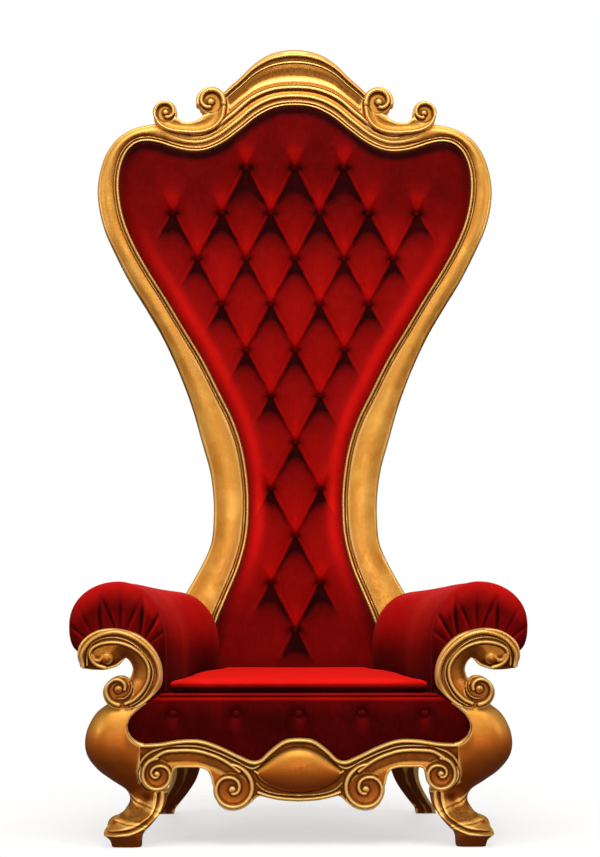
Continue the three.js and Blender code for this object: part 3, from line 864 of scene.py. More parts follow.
@dataclass(frozen=True)
class Velvet:
    """Red velvet whose brightness is painted light, stored at its points. Colours are linear."""

    name: str
    # deep is the colour in full painted shade, bright the colour in full painted light.
    deep: Colour = (0.012, 0.0002, 0.0004, 1.0)
    bright: Colour = (0.70, 0.007, 0.005, 1.0)
    crushed: Colour = (0.30, 0.006, 0.006, 1.0)
    sheen: float = 0.15

    def build(self, groups: dict[str, NodeTree]) -> Material:
        """Builds the material.

        Args:
            groups: The shared node groups by name.

        Returns:
            The material.
        """
        made, tree, shader = new_material(self.name)
        nap = tree.attribute("nap")
        place = tree.node("ShaderNodeTexCoord").outputs["Object"]
        pile = tree.group(groups["pile"], Vector=place, Nap=nap)
        # The painted light blends from the shaded to the lit colour.
        colour = tree.blend(pile.outputs["Tone"], self.deep, self.bright)
        crush = tree.math("MULTIPLY", pile.outputs["Crush"], tree.math("MULTIPLY", nap, 0.2))
        colour = tree.blend(crush, colour, self.crushed)
        tree.wire(colour, shader.inputs["Base Color"])
        tree.wire(tree.span(pile.outputs["Crush"], 0.0, 1.0, 0.92, 0.78), shader.inputs["Roughness"])
        shader.inputs["Specular IOR Level"].default_value = 0.03
        shader.inputs["Sheen Weight"].default_value = self.sheen
        shader.inputs["Sheen Roughness"].default_value = 0.3
        shader.inputs["Sheen Tint"].default_value = (1.0, 0.05, 0.03, 1.0)
        tree.wire(tree.bump(pile.outputs["Height"], 0.25, 0.8 * MM), shader.inputs["Normal"])
        return made


class Workshop:
    """Makes the finishes once and fits finished pieces into the frame."""

    def __init__(self, layout: Layout) -> None:
        """Builds the shared node groups and the four finishes.

        Args:
            layout: Shared places.
        """
        self.layout = layout
        groups = {"mottle": build_mottle(), "wear_and_shade": build_wear_and_shade(), "pile": build_pile()}
        self.finishes: dict[Slot, Material] = {
            Slot.GILDING: Gilding("antique gilding").build(groups),
            # A darker, redder copy of the gilding: painted shade for the back legs.
            Slot.DARK_GILDING: Gilding(
                "shaded gilding", bright=(0.34, 0.07, 0.012, 1.0), warm=(0.20, 0.03, 0.005, 1.0),
                warmth_and_shade=(0.13, 0.010, 0.003, 1.0), under=(0.09, 0.012, 0.002, 1.0), metallic=0.5,
                roughness=0.42).build(groups),
            Slot.VELVET: Velvet("red velvet").build(groups),
            Slot.COVER_CLOTH: Velvet(
                "plain back velvet", bright=(0.40, 0.005, 0.005, 1.0), sheen=0.35).build(groups),
        }

    def fit(self, piece: Object, slot: Slot, *nodes: str) -> None:
        """Dresses a finished piece and puts it in place of its CAD nodes.

        Args:
            piece: The piece.
            slot: Its material slot.
            *nodes: Names of the CAD nodes that it stands for.
        """
        piece.data.materials.clear()
        piece.data.materials.append(self.finishes[slot])
        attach(piece, "root")
        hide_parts(*nodes)
        log.info("%s: %d faces, stands for %s", piece.name, len(piece.data.polygons), ", ".join(nodes))


@dataclass(frozen=True)
class Layout:
    """Places shared by the pieces, read from the frame. Metres, apart from the lean."""

    front_y: float
    pivot: Vector
    lean: float = math.radians(5.5)

    @classmethod
    def from_frame(cls) -> Layout:
        """Reads the front plane and the back's pivot from the CAD nodes.

        Returns:
            The places.
        """
        arm_low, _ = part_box("arm_left")
        front = arm_low.y - ARM_START * MM
        return cls(front_y=front, pivot=Vector((0.0, front + BACK_DEPTH * MM, PIVOT_HEIGHT * MM)))

    @property
    def back_matrix(self) -> Matrix:
        """Placing of the back's own drawing: across, depth behind its face, height along the lean."""
        return Matrix.Translation(self.pivot) @ Matrix.Rotation(-self.lean, 4, "X") @ Matrix.Scale(MM, 4)

    @property
    def front_matrix(self) -> Matrix:
        """Placing of the front's drawing: across, depth behind the front plane, height."""
        return Matrix.Translation((0.0, self.front_y, 0.0)) @ Matrix.Scale(MM, 4)


def place(bm: BMesh, matrix: Matrix) -> BMesh:
    """Moves a drawn body to its place in the frame."""
    bmesh.ops.transform(bm, matrix=matrix, verts=bm.verts)
    return bm


# ---- gilded back frame

# Half of the frame's main moulding from the top middle down: inner x, inner v, outer x, outer v.
FRAME_STATIONS = (
    (0, 1719, 0, 1793), (63, 1710, 72, 1786), (115, 1683, 134, 1761), (170, 1639, 198, 1708),
    (225, 1599, 250, 1668), (277, 1578, 293, 1649), (323, 1576, 330, 1649), (369, 1585, 361, 1655),
    (415, 1599, 407, 1664), (452, 1605, 453, 1660), (483, 1599, 501, 1646), (507, 1580, 544, 1618),
    (522, 1555, 578, 1571), (533, 1518, 596, 1518), (537, 1471, 604, 1465), (531, 1409, 601, 1409),
    (515, 1347, 584, 1338), (484, 1276, 548, 1258), (441, 1199, 508, 1180), (389, 1116, 459, 1100),
    (337, 1029, 407, 1011), (278, 931, 357, 904), (230, 836, 316, 796), (187, 748, 281, 674),
    (159, 662, 259, 595), (143, 565, 248, 513), (139, 489, 247, 449), (145, 392, 254, 374),
    (168, 301, 279, 313), (204, 213, 321, 237), (234, 141, 363, 165), (262, 53, 392, 60),
    (278, -40, 404, -40), (284, -140, 408, -140), (286, -250, 408, -250),
)
CREST_STATIONS = (
    (0, 1787, 0, 1901), (63, 1782, 73, 1888), (115, 1766, 125, 1856),
    (152, 1741, 168, 1813), (177, 1721, 198, 1786), (198, 1702, 220, 1765),
)


def bead_profile(start: float, end: float, low: float, high: float) -> list[tuple[float, float]]:
    """Half-round bead between two distances, as distance and height pairs.

    Args:
        start: Where the bead starts.
        end: Where it ends.
        low: Height of its feet.
        high: Height of its top.

    Returns:
        The pairs.
    """
    angle = np.linspace(0.0, math.pi, 8)
    middle, half = (start + end) / 2, (end - start) / 2
    return [(middle - half * math.cos(a), low + (high - low) * math.sin(a)) for a in angle]


@dataclass
class BackFrame:
    """Carved frame of the back with its crest and shoulder scrolls. Drawn in millimetres."""

    depth: float = 70.0
    steps: int = 7
    rail_low: float = -250.0
    rail_high: float = -120.0
    rail_width: float = 600.0
    scroll_depth: float = -8.0
    large_curl: tuple[float, float] = (258, 1730)
    small_curl: tuple[float, float] = (397, 1696)

    def plain_profile(self, width: float) -> list[tuple[float, float]]:
        """Section of the sides from the inner edge outwards: distance and height.

        Args:
            width: Width of the frame here.

        Returns:
            Pairs of distance and height.
        """
        first, last = 21.0, width - 10.0
        band = [(s, 8.0 + 5.0 * math.sin(math.pi * (s - first) / (last - first)))
                for s in np.linspace(first, last, 9)]
        rim = [(width - 10.0 + 10.0 * math.sin(a), -3.0 + 11.0 * math.cos(a))
               for a in np.radians((15, 35, 55, 70, 85))]
        return (bead_profile(0.0, 11.0, 0.0, 13.0) + [(12.5, 2.5)] + bead_profile(14.0, 18.0, 3.5, 8.5)
                + [(19.5, 4.5)] + band + rim + [(width, -16.0)])

    def moulded_profile(self, width: float) -> list[tuple[float, float]]:
        """Section under the crest: four beads and coves.

        Args:
            width: Width of the frame here.

        Returns:
            Pairs of distance and height.
        """
        raised = (bead_profile(0.0, 9.0, 0.0, 11.0) + [(10.0, 3.5)] + bead_profile(11.0, 17.0, 4.5, 9.0)
                  + [(20.0, 4.0)] + bead_profile(25.0, 37.0, 6.0, 12.5) + [(41.0, 6.0), (47.0, 5.0)]
                  + bead_profile(50.0, 63.0, 8.0, 16.0) + [(66.0, 10.0), (70.0, 5.0), (73.0, 3.0)])
        return [(s * width / 73.0, h) for s, h in raised]

    def section(self, width: float, moulded: float) -> Array:
        """Closed section: across from the inner edge, and depth behind the face plane.

        Args:
            width: Width of the frame here.
            moulded: 1 for the section under the crest, 0 for that of the sides.

        Returns:
            Points of the section.
        """
        plain = evenly(np.array(self.plain_profile(width)), 72)
        rich = evenly(np.array(self.moulded_profile(width)), 72)
        front = plain + (rich - plain) * moulded
        back = [(width, 24.0), (width, self.depth - 8), (width - 8, self.depth), (8.0, self.depth),
                (0.0, self.depth - 8)]
        return np.vstack([np.column_stack([front[:, 0], -front[:, 1]]), np.array(back)])

    def crest_section(self, width: float) -> Array:
        """Closed section of the crest above the main moulding: a cove between beads.

        Args:
            width: Width of the frame here.

        Returns:
            Distance and depth of each point.
        """
        w = width / 106.0
        cove = [(8, 10), (13, 8), (19, 6), (26, 4.5), (34, 4), (41, 4.5), (48, 6), (53, 7.5), (58, 9)]
        front = ([(0.0, -4.0), (2 * w, 0.0), (5 * w, 6.0)] + [(s * w, h + 2) for s, h in cove]
                 + bead_profile(60 * w, 67 * w, 9.0, 14.0) + [(70 * w, 5.0), (76 * w, 4.0)]
                 + bead_profile(79 * w, 90 * w, 5.0, 17.0)
                 + [(93 * w, 6.0), (98 * w, 2.0), (103 * w, -5.0), (width, -14.0)])
        back = [(width, self.depth - 10), (width - 8, self.depth - 2), (0.0, self.depth - 2)]
        return np.array([(s, -h) for s, h in front] + back)

    def rings(self, stations: Points, section: Callable[[float, Array], Array]) -> Array:
        """Rings of a moulding that runs through stations with an inner and an outer line.

        Args:
            stations: Inner and outer points of the run.
            section: Gives the section for a width and a place.

        Returns:
            The rings.
        """
        run = np.asarray(stations, dtype=float)
        whole = np.vstack([run[1:][::-1] * np.array([-1, 1, -1, 1]), run])
        inner = through(whole[:, :2], self.steps)
        outer = through(whole[:, 2:], self.steps)
        rings = []
        for start, end in zip(inner, outer):
            across = end - start
            width = float(np.hypot(*across))
            shape = section(width, start)
            flat = start + np.outer(shape[:, 0] / width, across)
            rings.append(upright(flat, shape[:, 1]))
        return np.array(rings)

    def moulded_share(self, start: Array) -> float:
        """Share of the crest's moulding at a place on the inner edge."""
        sideways = 1.0 - ramp(abs(start[0]), 285.0, 440.0)
        return float(sideways * ramp(start[1], 1480.0, 1560.0))

    def shoulder_scroll(self) -> BMesh:
        """C-scroll on the right shoulder: a hollowed limb between two curls.

        Returns:
            The scroll.
        """
        lower = through([(437, 1705), (430, 1672), (412, 1644), (385, 1628), (339, 1617), (293, 1617),
                         (262, 1624), (232, 1641), (210, 1668), (200, 1705), (203, 1742)])
        outline = np.vstack([
            lower, arc((257, 1731), 47, 165, -10, 14), arc((258, 1728), 38, -15, -70, 5),
            through([(281, 1690), (290, 1680), (304, 1671), (326, 1667), (346, 1669), (361, 1680)], 4),
            arc((399, 1697), 37, 205, 0, 14)])
        spine = through([(433, 1690), (417, 1660), (388, 1642), (339, 1634), (293, 1634), (262, 1642),
                         (240, 1656), (224, 1680), (218, 1712)])
        step = through([(436, 1672), (414, 1644), (386, 1628), (339, 1619), (293, 1619), (262, 1626),
                        (234, 1642), (212, 1668), (204, 1705), (206, 1742)])
        forms = [
            Bead(spine, 11, 12, ground=10),
            *volute(self.small_curl, (34, 31, 25, 14), -10, 1, 19, 15, 10),
            *volute(self.large_curl, (40, 37, 30, 17), 190, -1, 21, 17, 12),
        ]

        def relief(points: Array) -> Array:
            """Scooped limb with a proud spine, stepped down to the frame along its lower edge.

            Args:
                points: Drawn points.

            Returns:
                The heights.
            """
            away, _ = nearest(points, spine)
            ground = 13.0 - 9.0 * ramp(away, 2.0, 20.0) + 5.0 * ramp(away, 22.0, 40.0)
            below, _ = nearest(points, step)
            ground = np.where(below < 12.0, -2.0 + 12.0 * ramp(below, 7.0, 12.0), ground)
            for centre, radius in ((self.small_curl, 30.0), (self.large_curl, 36.0)):
                dished = away_from(points, centre) < radius
                ground = np.where(dished, np.minimum(ground, 1.0), ground)
            return highest(ground, forms, points)

        return Carving(outline, back=46.0, near=self.scroll_depth, cell=1.6, rounding=5.0).build(relief)

    def foot_rail(self) -> BMesh:
        """Plain bar across the lower end of the frame, with eased edges.

        Returns:
            The bar.
        """
        rail = bmesh.new()
        bmesh.ops.create_cube(rail, size=1.0)
        size = (self.rail_width, self.depth - 4, self.rail_high - self.rail_low - 4)
        bmesh.ops.scale(rail, vec=size, verts=rail.verts)
        middle = (0, self.depth / 2, (self.rail_high + self.rail_low) / 2)
        bmesh.ops.translate(rail, vec=middle, verts=rail.verts)
        bmesh.ops.bevel(rail, geom=rail.edges[:], offset=5, segments=3, profile=0.5, affect="EDGES",
                        material=-1)
        return rail

    def build(self, shop: Workshop) -> None:
        """Builds the frame as one piece.

        Args:
            shop: Places and dresses the pieces.
        """
        bm = tube(self.rings(FRAME_STATIONS, lambda width, start: self.section(
            width, self.moulded_share(start))))
        join(bm, tube(self.rings(CREST_STATIONS, lambda width, _start: self.crest_section(width))))
        for side in Side:
            join(bm, for_side(self.shoulder_scroll(), side))
        join(bm, self.foot_rail())
        drawn = np.array([(v.co.x, v.co.z) for v in bm.verts]) / MM
        piece = new_object("gilded_back_frame", place(bm, shop.layout.back_matrix))
        self.tone(piece, drawn)
        shop.fit(piece, Slot.GILDING, "back_frame")

    def tone(self, piece: Object, drawn: Array) -> None:
        """Tones the frame: a pale outer rim, which is a painted highlight, and a warmer band inside it.

        Args:
            piece: The frame.
            drawn: Drawn place of each point: across and height along the lean.
        """
        folded = np.column_stack([np.abs(drawn[:, 0]), drawn[:, 1]])
        run = np.array(FRAME_STATIONS, dtype=float)
        from_inner, _ = nearest(folded, through(run[:, :2], self.steps), 120.0)
        from_outer, _ = nearest(folded, through(run[:, 2:], self.steps), 120.0)
        low = 1 - ramp(folded[:, 1], 1380.0, 1560.0)
        # Painted highlight along the outer rim, below the crest.
        rim = (1 - ramp(from_outer, 8.0, 20.0)) * low
        band = ramp(from_inner, 15.0, 22.0) * ramp(from_outer, 10.0, 22.0) * (from_inner < 119.0)
        mark_hollows_and_shade(piece, 6, -0.3 * rim - 0.03 + 0.05 * band)
        warmth = np.clip(0.85 * band * (0.35 + 0.65 * low), 0.0, 1.0)
        piece.data.attributes["warmth_and_shade"].data.foreach_set("value", np.nan_to_num(warmth))


# ---- buttoned back


def opening_outline(inset: float, bottom: float) -> Array:
    """Closed outline of the frame's opening, moved in by a distance and cut off below, in millimetres.

    Args:
        inset: Distance moved in.
        bottom: Height of the cut.

    Returns:
        The outline.
    """
    run = np.asarray(FRAME_STATIONS, dtype=float)[:, :2]
    line = through(run)
    line = line[line[:, 1] > bottom]
    line = np.vstack([line, [line[-1, 0], bottom]])
    whole = np.vstack([line[1:][::-1] * np.array([-1.0, 1.0]), line])
    ahead = unit(np.roll(whole, -1, axis=0) - np.roll(whole, 1, axis=0))
    return whole + np.column_stack([-ahead[:, 1], ahead[:, 0]]) * -inset


@dataclass
class ButtonedBack:
    """Deep-buttoned pad of the back, with its covered buttons. Drawn in millimetres."""

    tuft_width: float = 149.0
    tuft_row: float = 141.0
    top_row: float = 1524.0
    pit: float = 4.0
    crown: float = 54.0
    rows: tuple[tuple[int, ...], ...] = (
        (-2, 0, 2), (-5, -3, -1, 1, 3, 5), (-4, -2, 0, 2, 4), (-3, -1, 1, 3), (-2, 0, 2), (-1, 1),
        (0,), (-1, 1), (0,), (-1, 1), (0,))
    bottom: float = -18.0
    cell: float = 3.1
    saddle: float = 23.0
    dimple: float = 15.0
    seed: int = 11

    def buttons(self) -> Array:
        """Places of the buttons, from the top row down."""
        return np.array([(c * self.tuft_width / 2, self.top_row - r * self.tuft_row)
                         for r, columns in enumerate(self.rows) for c in columns])

    def creases(self) -> list[tuple[Array, Array, bool]]:
        """Folds of the cover: start, end, and whether the end is free and the fold dies out there.

        Returns:
            One entry per fold.
        """
        places = self.buttons()
        step = np.array([self.tuft_width / 2, self.tuft_row])
        found = []
        for spot in places:
            for sx, sv in ((-1, -1), (1, -1), (-1, 1), (1, 1)):
                end = spot + step * (sx, sv)
                joined = np.hypot(*(places - end).T).min() < 1.0
                if joined and sv < 0:
                    found.append((spot, end, False))
                if not joined:
                    found.append((spot, spot + step * (sx, sv) * (0.75 if sv < 0 else 0.4), True))
        return found

    def height(self, points: Array) -> Array:
        """Height of the pad in front of the face plane.

        Args:
            points: Drawn points.

        Returns:
            The heights.
        """
        drop = np.zeros(len(points))
        span = self.tuft_width * self.tuft_row / math.hypot(self.tuft_width, 2 * self.tuft_row)
        deepest = self.crown - self.pit
        for start, end, free in self.creases():
            distance, along = nearest(points, np.array([start, end]), span)
            near = np.clip(distance / span, 0.0, 1.0)
            wall = 1 - dome(1 - near) ** 1.25
            if free:
                depth = deepest * np.clip(1 - along, 0, 1) ** 1.7
            else:
                depth = deepest - self.saddle * np.sin(math.pi * along) ** 0.8
            drop += (depth * wall) ** 5
        for spot in self.buttons():
            drop += (deepest * bell(away_from(points, spot), self.dimple)) ** 5
        return self.crown - np.minimum(drop**0.2, deepest)

    def wrinkles(self, points: Array) -> Array:
        """Small pulled folds that fan out above the buttons.

        Args:
            points: Drawn points.

        Returns:
            Their heights.
        """
        random = np.random.default_rng(self.seed)
        total = np.zeros(len(points))
        for spot in self.buttons():
            offset = points - spot
            reach = np.hypot(*offset.T)
            chosen = np.flatnonzero(reach < 90.0)
            angle = np.arctan2(offset[chosen, 1], offset[chosen, 0])
            strength = random.uniform(0.6, 1.7)
            for _ in range(6):
                direction = random.uniform(0.1, 3.0)
                width = random.uniform(0.04, 0.08)
                length = random.uniform(26, 50)
                turn = np.abs(np.angle(np.exp(1j * (angle - direction))))
                total[chosen] += strength * (bell(turn, width) * bell(reach[chosen] - length, 16))
        return total

    def surface(self, points: Array, closed: Array) -> Array:
        """Height of the finished surface, with its rolled edge inside the frame.

        Args:
            points: Drawn points.
            closed: Outline, closed.

        Returns:
            The heights.
        """
        distance, _ = nearest(points, closed, 60.0)
        roll = dome(1 - np.clip((distance - 3.0) / 44.0, 0.0, 1.0))
        tufted = self.height(points) + self.wrinkles(points) * ramp(distance, 10, 40)
        roll = np.where(points[:, 1] < 30.0, 1.0, roll)
        return tufted * roll - 6.0 * (1 - roll)

    def build(self, shop: Workshop) -> None:
        """Builds the pad and its buttons.

        Args:
            shop: Places and dresses the pieces.
        """
        outline = opening_outline(-3.0, self.bottom)
        slab = Carving(outline, back=26.0, cell=self.cell, rounding=2.0)
        bm = slab.build(partial(self.surface, closed=looped(outline)))
        flat = np.array([(v.co.x, v.co.z) for v in bm.verts])
        piece = new_object("buttoned_back", place(bm, shop.layout.back_matrix), 75.0)
        self.shade(piece, shop.layout, flat, outline)
        shop.fit(piece, Slot.VELVET, "back_cushion")
        for number, spot in enumerate(self.buttons(), start=1):
            centre = shop.layout.back_matrix @ Vector((spot[0], -self.pit - 4.0, spot[1]))
            button = covered_button(f"button_{number:02d}", centre, -shop.layout.lean)
            shop.fit(button, Slot.VELVET, f"back_button_{number:02d}")

    def shade(self, piece: Object, layout: Layout, flat: Array, outline: Array) -> None:
        """Paints light and shade into the velvet: dark under each button and bright on the tips, as if lit
        from below.

        Args:
            piece: The pad.
            layout: Shared places.
            flat: Drawn place of each point: across and height along the lean.
            outline: Outline of the pad.
        """
        normal = normals_of(piece) @ np.array(layout.back_matrix.to_3x3().normalized())
        # Painted light: faces that look down brighter, faces that look up darker.
        nap = 0.31 - 0.26 * normal[:, 2]
        # Painted shade in a wedge under each button, a painted highlight in a fan above it.
        for spot in self.buttons():
            across, down = np.abs(flat[:, 0] - spot[0]), spot[1] - flat[:, 1]
            below = np.where(down > 0, 1.0, bell(down, 9.0))
            fan = 1 - ramp(across - 0.5 * np.abs(down), -22.0, 18.0)
            nap -= below * (0.16 * bell(across, 20.0) * bell(down, 50.0) + 0.17 * fan * bell(down, 92.0))
            nap += (down < 0) * (0.15 * fan * bell(down, 80.0)
                                 + 0.22 * bell(across, 21.0) * bell(down + 26, 26.0))
        # A painted highlight above each crease, painted shade below it.
        for start, end, free in self.creases():
            distance, along = nearest(flat, np.array([start, end]), 26.0)
            slope = (end[1] - start[1]) / (end[0] - start[0])
            above = flat[:, 1] > start[1] + slope * (flat[:, 0] - start[0])
            fade = np.where(along >= 1.0, 0.0, 1.0) * (1 - along if free else 1.0)
            edge = np.where(above, 0.20 * bell(distance - 5.0, 4.0), -0.18 * bell(distance, 12.0))
            nap += np.where(np.isfinite(distance), edge * fade, 0.0)
        # A painted highlight along the frame, strongest at middle height; painted shade at the top and the
        # bottom.
        rim, _ = nearest(flat, looped(outline), 70.0)
        lit = ramp(flat[:, 1], 120.0, 450.0) * (1 - ramp(flat[:, 1], 1050.0, 1400.0))
        nap += 0.44 * bell(rim - 30, 20) * lit
        nap -= 0.19 * ramp(flat[:, 1], 1150, 1500) + 0.13 * ramp(-flat[:, 1], -420, -60)
        mark(piece, "nap", np.clip(nap, 0.0, 1.0))


def covered_button(name: str, centre: Vector, tilt: float, radius: float = 11.0) -> Object:
    """Velvet-covered button with a domed face.

    Args:
        name: The button's name.
        centre: Its middle, in metres.
        tilt: Turn about the X axis, in radians.
        radius: Its radius, in millimetres.

    Returns:
        The button.
    """
    bm = bmesh.new()
    bmesh.ops.create_uvsphere(bm, u_segments=20, v_segments=12, radius=radius * MM)
    bmesh.ops.scale(bm, vec=(1, 1, 0.55), verts=bm.verts)
    bmesh.ops.rotate(bm, matrix=Matrix.Rotation(math.pi / 2 + tilt, 3, "X"), verts=bm.verts)
    bmesh.ops.translate(bm, vec=centre, verts=bm.verts)
    bmesh.ops.recalc_face_normals(bm, faces=bm.faces)
    made = new_object(name, bm)
    # Painted light: the top of the button lighter than its underside.
    mark(made, "nap", np.clip(0.09 + 0.10 * normals_of(made)[:, 2], 0, 1))
    return made


@dataclass
class OutsideCover:
    """Flat velvet panel that closes the outside of the back, with a piped edge."""

    front: float = 38.0
    back: float = 62.0

    def relief(self, points: Array, closed: Array) -> Array:
        """Height of the slightly swollen cloth, with piping along its edge.

        Args:
            points: Drawn points.
            closed: Outline, closed.

        Returns:
            The heights.
        """
        distance, _ = nearest(points, closed)
        piping = 5.0 * dome((distance - 6.0) / 4.5)
        return np.maximum(2.0 + 4.0 * ramp(distance, 12.0, 160.0), piping + 1.0)

    def build(self, shop: Workshop) -> None:
        """Builds the panel.

        Args:
            shop: Places and dresses the pieces.
        """
        outline = opening_outline(1.0, -108.0)
        slab = Carving(outline, back=self.back - self.front - 6.0, cell=6.0, rounding=3.0)
        bm = slab.build(partial(self.relief, closed=looped(outline)))
        bmesh.ops.scale(bm, vec=(1, -1, 1), verts=bm.verts)
        bmesh.ops.reverse_faces(bm, faces=bm.faces)
        bmesh.ops.translate(bm, vec=(0, self.back - 4.0, 0), verts=bm.verts)
        piece = new_object("outside_cover", place(bm, shop.layout.back_matrix))
        # An even middle level of painted light over the whole panel.
        mark(piece, "nap", np.full(len(piece.data.vertices), 0.42))
        shop.fit(piece, Slot.COVER_CLOTH, "back_cover")


# ---- carved front

APRON_TOP = ((0, 296), (39, 291), (80, 263), (108, 237), (127, 233), (163, 247), (218, 273),
             (273, 291), (329, 291), (384, 283), (437, 280))
BORDER_SIDE = ((382, 418), (411, 398), (439, 379), (462, 357), (472, 332), (467, 308), (447, 285),
               (437, 280))


@dataclass
class FrontApron:
    """Carved front rail: cartouche, arches and four volutes. Drawn in millimetres."""

    near: float = -14.0
    far: float = 30.0
    knee: float = 446.0
    inner_eye: tuple[float, float] = (184, 154)
    outer_eye: tuple[float, float] = (392, 197)
    ridge: Points = ((398, 243), (370, 259), (329, 263), (301, 263), (273, 260), (246, 252), (218, 241),
                     (191, 225), (165, 205))

    def outline(self) -> Array:
        """Closed outline; its ends run into the knees.

        Returns:
            The outline.
        """
        steps = 18
        turn = np.radians(np.linspace(20, -150, steps))
        reach = np.linspace(51.0, 45.0, steps)
        outer = np.column_stack([self.outer_eye[0] + reach * np.cos(turn),
                                 self.outer_eye[1] + reach * np.sin(turn)])
        half = np.vstack([
            through(APRON_TOP, 10), [(self.knee, 283), (self.knee, 250), (445, 226)], outer,
            through([(347, 205), (340, 213), (300, 215), (273, 214), (254, 207), (244, 190), (240, 172)], 5),
            arc(self.inner_eye, 53, 8, -32, 6),
            through([(221, 112), (206, 101), (185, 96), (158, 101), (136, 115), (118, 131), (108, 136)], 5),
            through([(100, 134), (55, 124), (0, 120)], 6),
        ])
        return mirrored(half)

    def forms(self) -> list[Bead | Dome]:
        """Beads, volutes and rims of the right half.

        Returns:
            The forms.
        """
        ridge = through(self.ridge)
        thin = through([(446, 190), (443, 216), (430, 240), (410, 257), (370, 271), (329, 275), (301, 275),
                        (273, 272), (218, 254), (175, 234), (146, 218), (127, 213), (112, 220),
                        (86, 242)])
        top = through([(452, 279), (437, 276), (384, 278), (329, 286), (273, 286), (218, 268),
                       (163, 242), (127, 228), (105, 233), (78, 257), (38, 285), (0, 290),
                       (-20, 288)])
        rim = through([(112, 147), (85, 138), (55, 132), (0, 128), (-20, 129)])
        fine = through([(118, 172), (104, 158), (84, 148), (55, 142), (0, 139), (-20, 139)])
        ear = through([(122, 205), (110, 198), (96, 196)], 6)
        return [
            Bead(top, 12, 13, ground=1), Bead(thin, 8, 6), Bead(ridge, 12, 14, ground=1),
            Bead(rim, 10, 12), Bead(fine, 4.5, 8), Bead(ear, 7, 9),
            *volute(self.inner_eye, (68, 54, 47, 45, 33, 18, 10), 90, 1, 15, 14, 11),
            *volute(self.outer_eye, (44, 39, 41, 36, 22, 15, 8), 90, -1, 15, 13, 10),
        ]

    def lens(self, points: Array) -> Array:
        """Swelling boss in the middle: pointed at its sides, fullest a little above its middle.

        Args:
            points: Drawn points.

        Returns:
            The heights.
        """
        x, z = np.abs(points[:, 0]), points[:, 1]
        share = np.clip(x / 120.0, 0.0, 1.0)
        top = 204 + 66 * np.cos(share * math.pi / 2) ** 0.95
        low = 204 - 59 * np.cos(share * math.pi / 2) ** 0.5
        middle = (top + low) / 2
        across = np.abs(z - middle) / np.maximum((top - low) / 2, 1.0)
        body = np.clip(1 - across**2, 0.0, 1.0) ** 0.6 * np.cos(share * math.pi / 2) ** 0.5
        return np.where((across < 1) & (share < 1), -4.0 + 34.0 * body, ABSENT)

    def ground(self, points: Array) -> Array:
        """Ground of the carving: coved under the ridge, dished in the volutes, sunk round the boss.

        Args:
            points: Drawn points.

        Returns:
            The heights.
        """
        x, z = points[:, 0], points[:, 1]
        line = through(self.ridge)[::-1]
        under = np.interp(x, line[:, 0], line[:, 1]) - z
        cove = -15.0 + 19.0 * ramp(under, 10.0, 46.0)
        ground = np.where(under > 0, cove, -3.0)
        ground = np.where(x < 128, -8.0, ground)
        for eye, radius in ((self.inner_eye, 48.0), (self.outer_eye, 42.0)):
            reach = away_from(points, eye)
            ground = np.where(reach < radius, -3.0 + 4.0 * (reach / radius) ** 2, ground)
        return ground

    def relief(self, points: Array) -> Array:
        """Height of the whole carving; it is the same on both sides.

        Args:
            points: Drawn points.

        Returns:
            The heights.
        """
        folded = np.column_stack([np.abs(points[:, 0]), points[:, 1]])
        height = np.maximum(highest(self.ground(folded), self.forms(), folded), self.lens(points))
        rise = ramp(folded[:, 0], 415.0, 442.0) * ramp(folded[:, 1], 236.0, 262.0)
        return np.maximum(height, 10.0 * rise - 4.0)

    def build(self, shop: Workshop) -> None:
        """Builds the apron.

        Args:
            shop: Places and dresses the pieces.
        """
        slab = Carving(self.outline(), back=self.far - self.near, near=self.near, cell=1.6, rounding=4.0,
                       joint=436.0)
        piece = new_object("carved_apron", place(slab.build(self.relief), shop.layout.front_matrix))
        sunk = (points_of(piece)[:, 1] - shop.layout.front_y) / MM - self.near
        boss = (sunk < -8.0) & (np.abs(points_of(piece)[:, 0]) < 112.0 * MM)
        # Painted shade in the sunk grounds and coves; a little darker on the boss.
        mark_hollows_and_shade(piece, 4, 0.34 * ramp(sunk, -3.0, 15.0) * (sunk < 22) + 0.07 * boss)
        shop.fit(piece, Slot.GILDING, "front_apron")


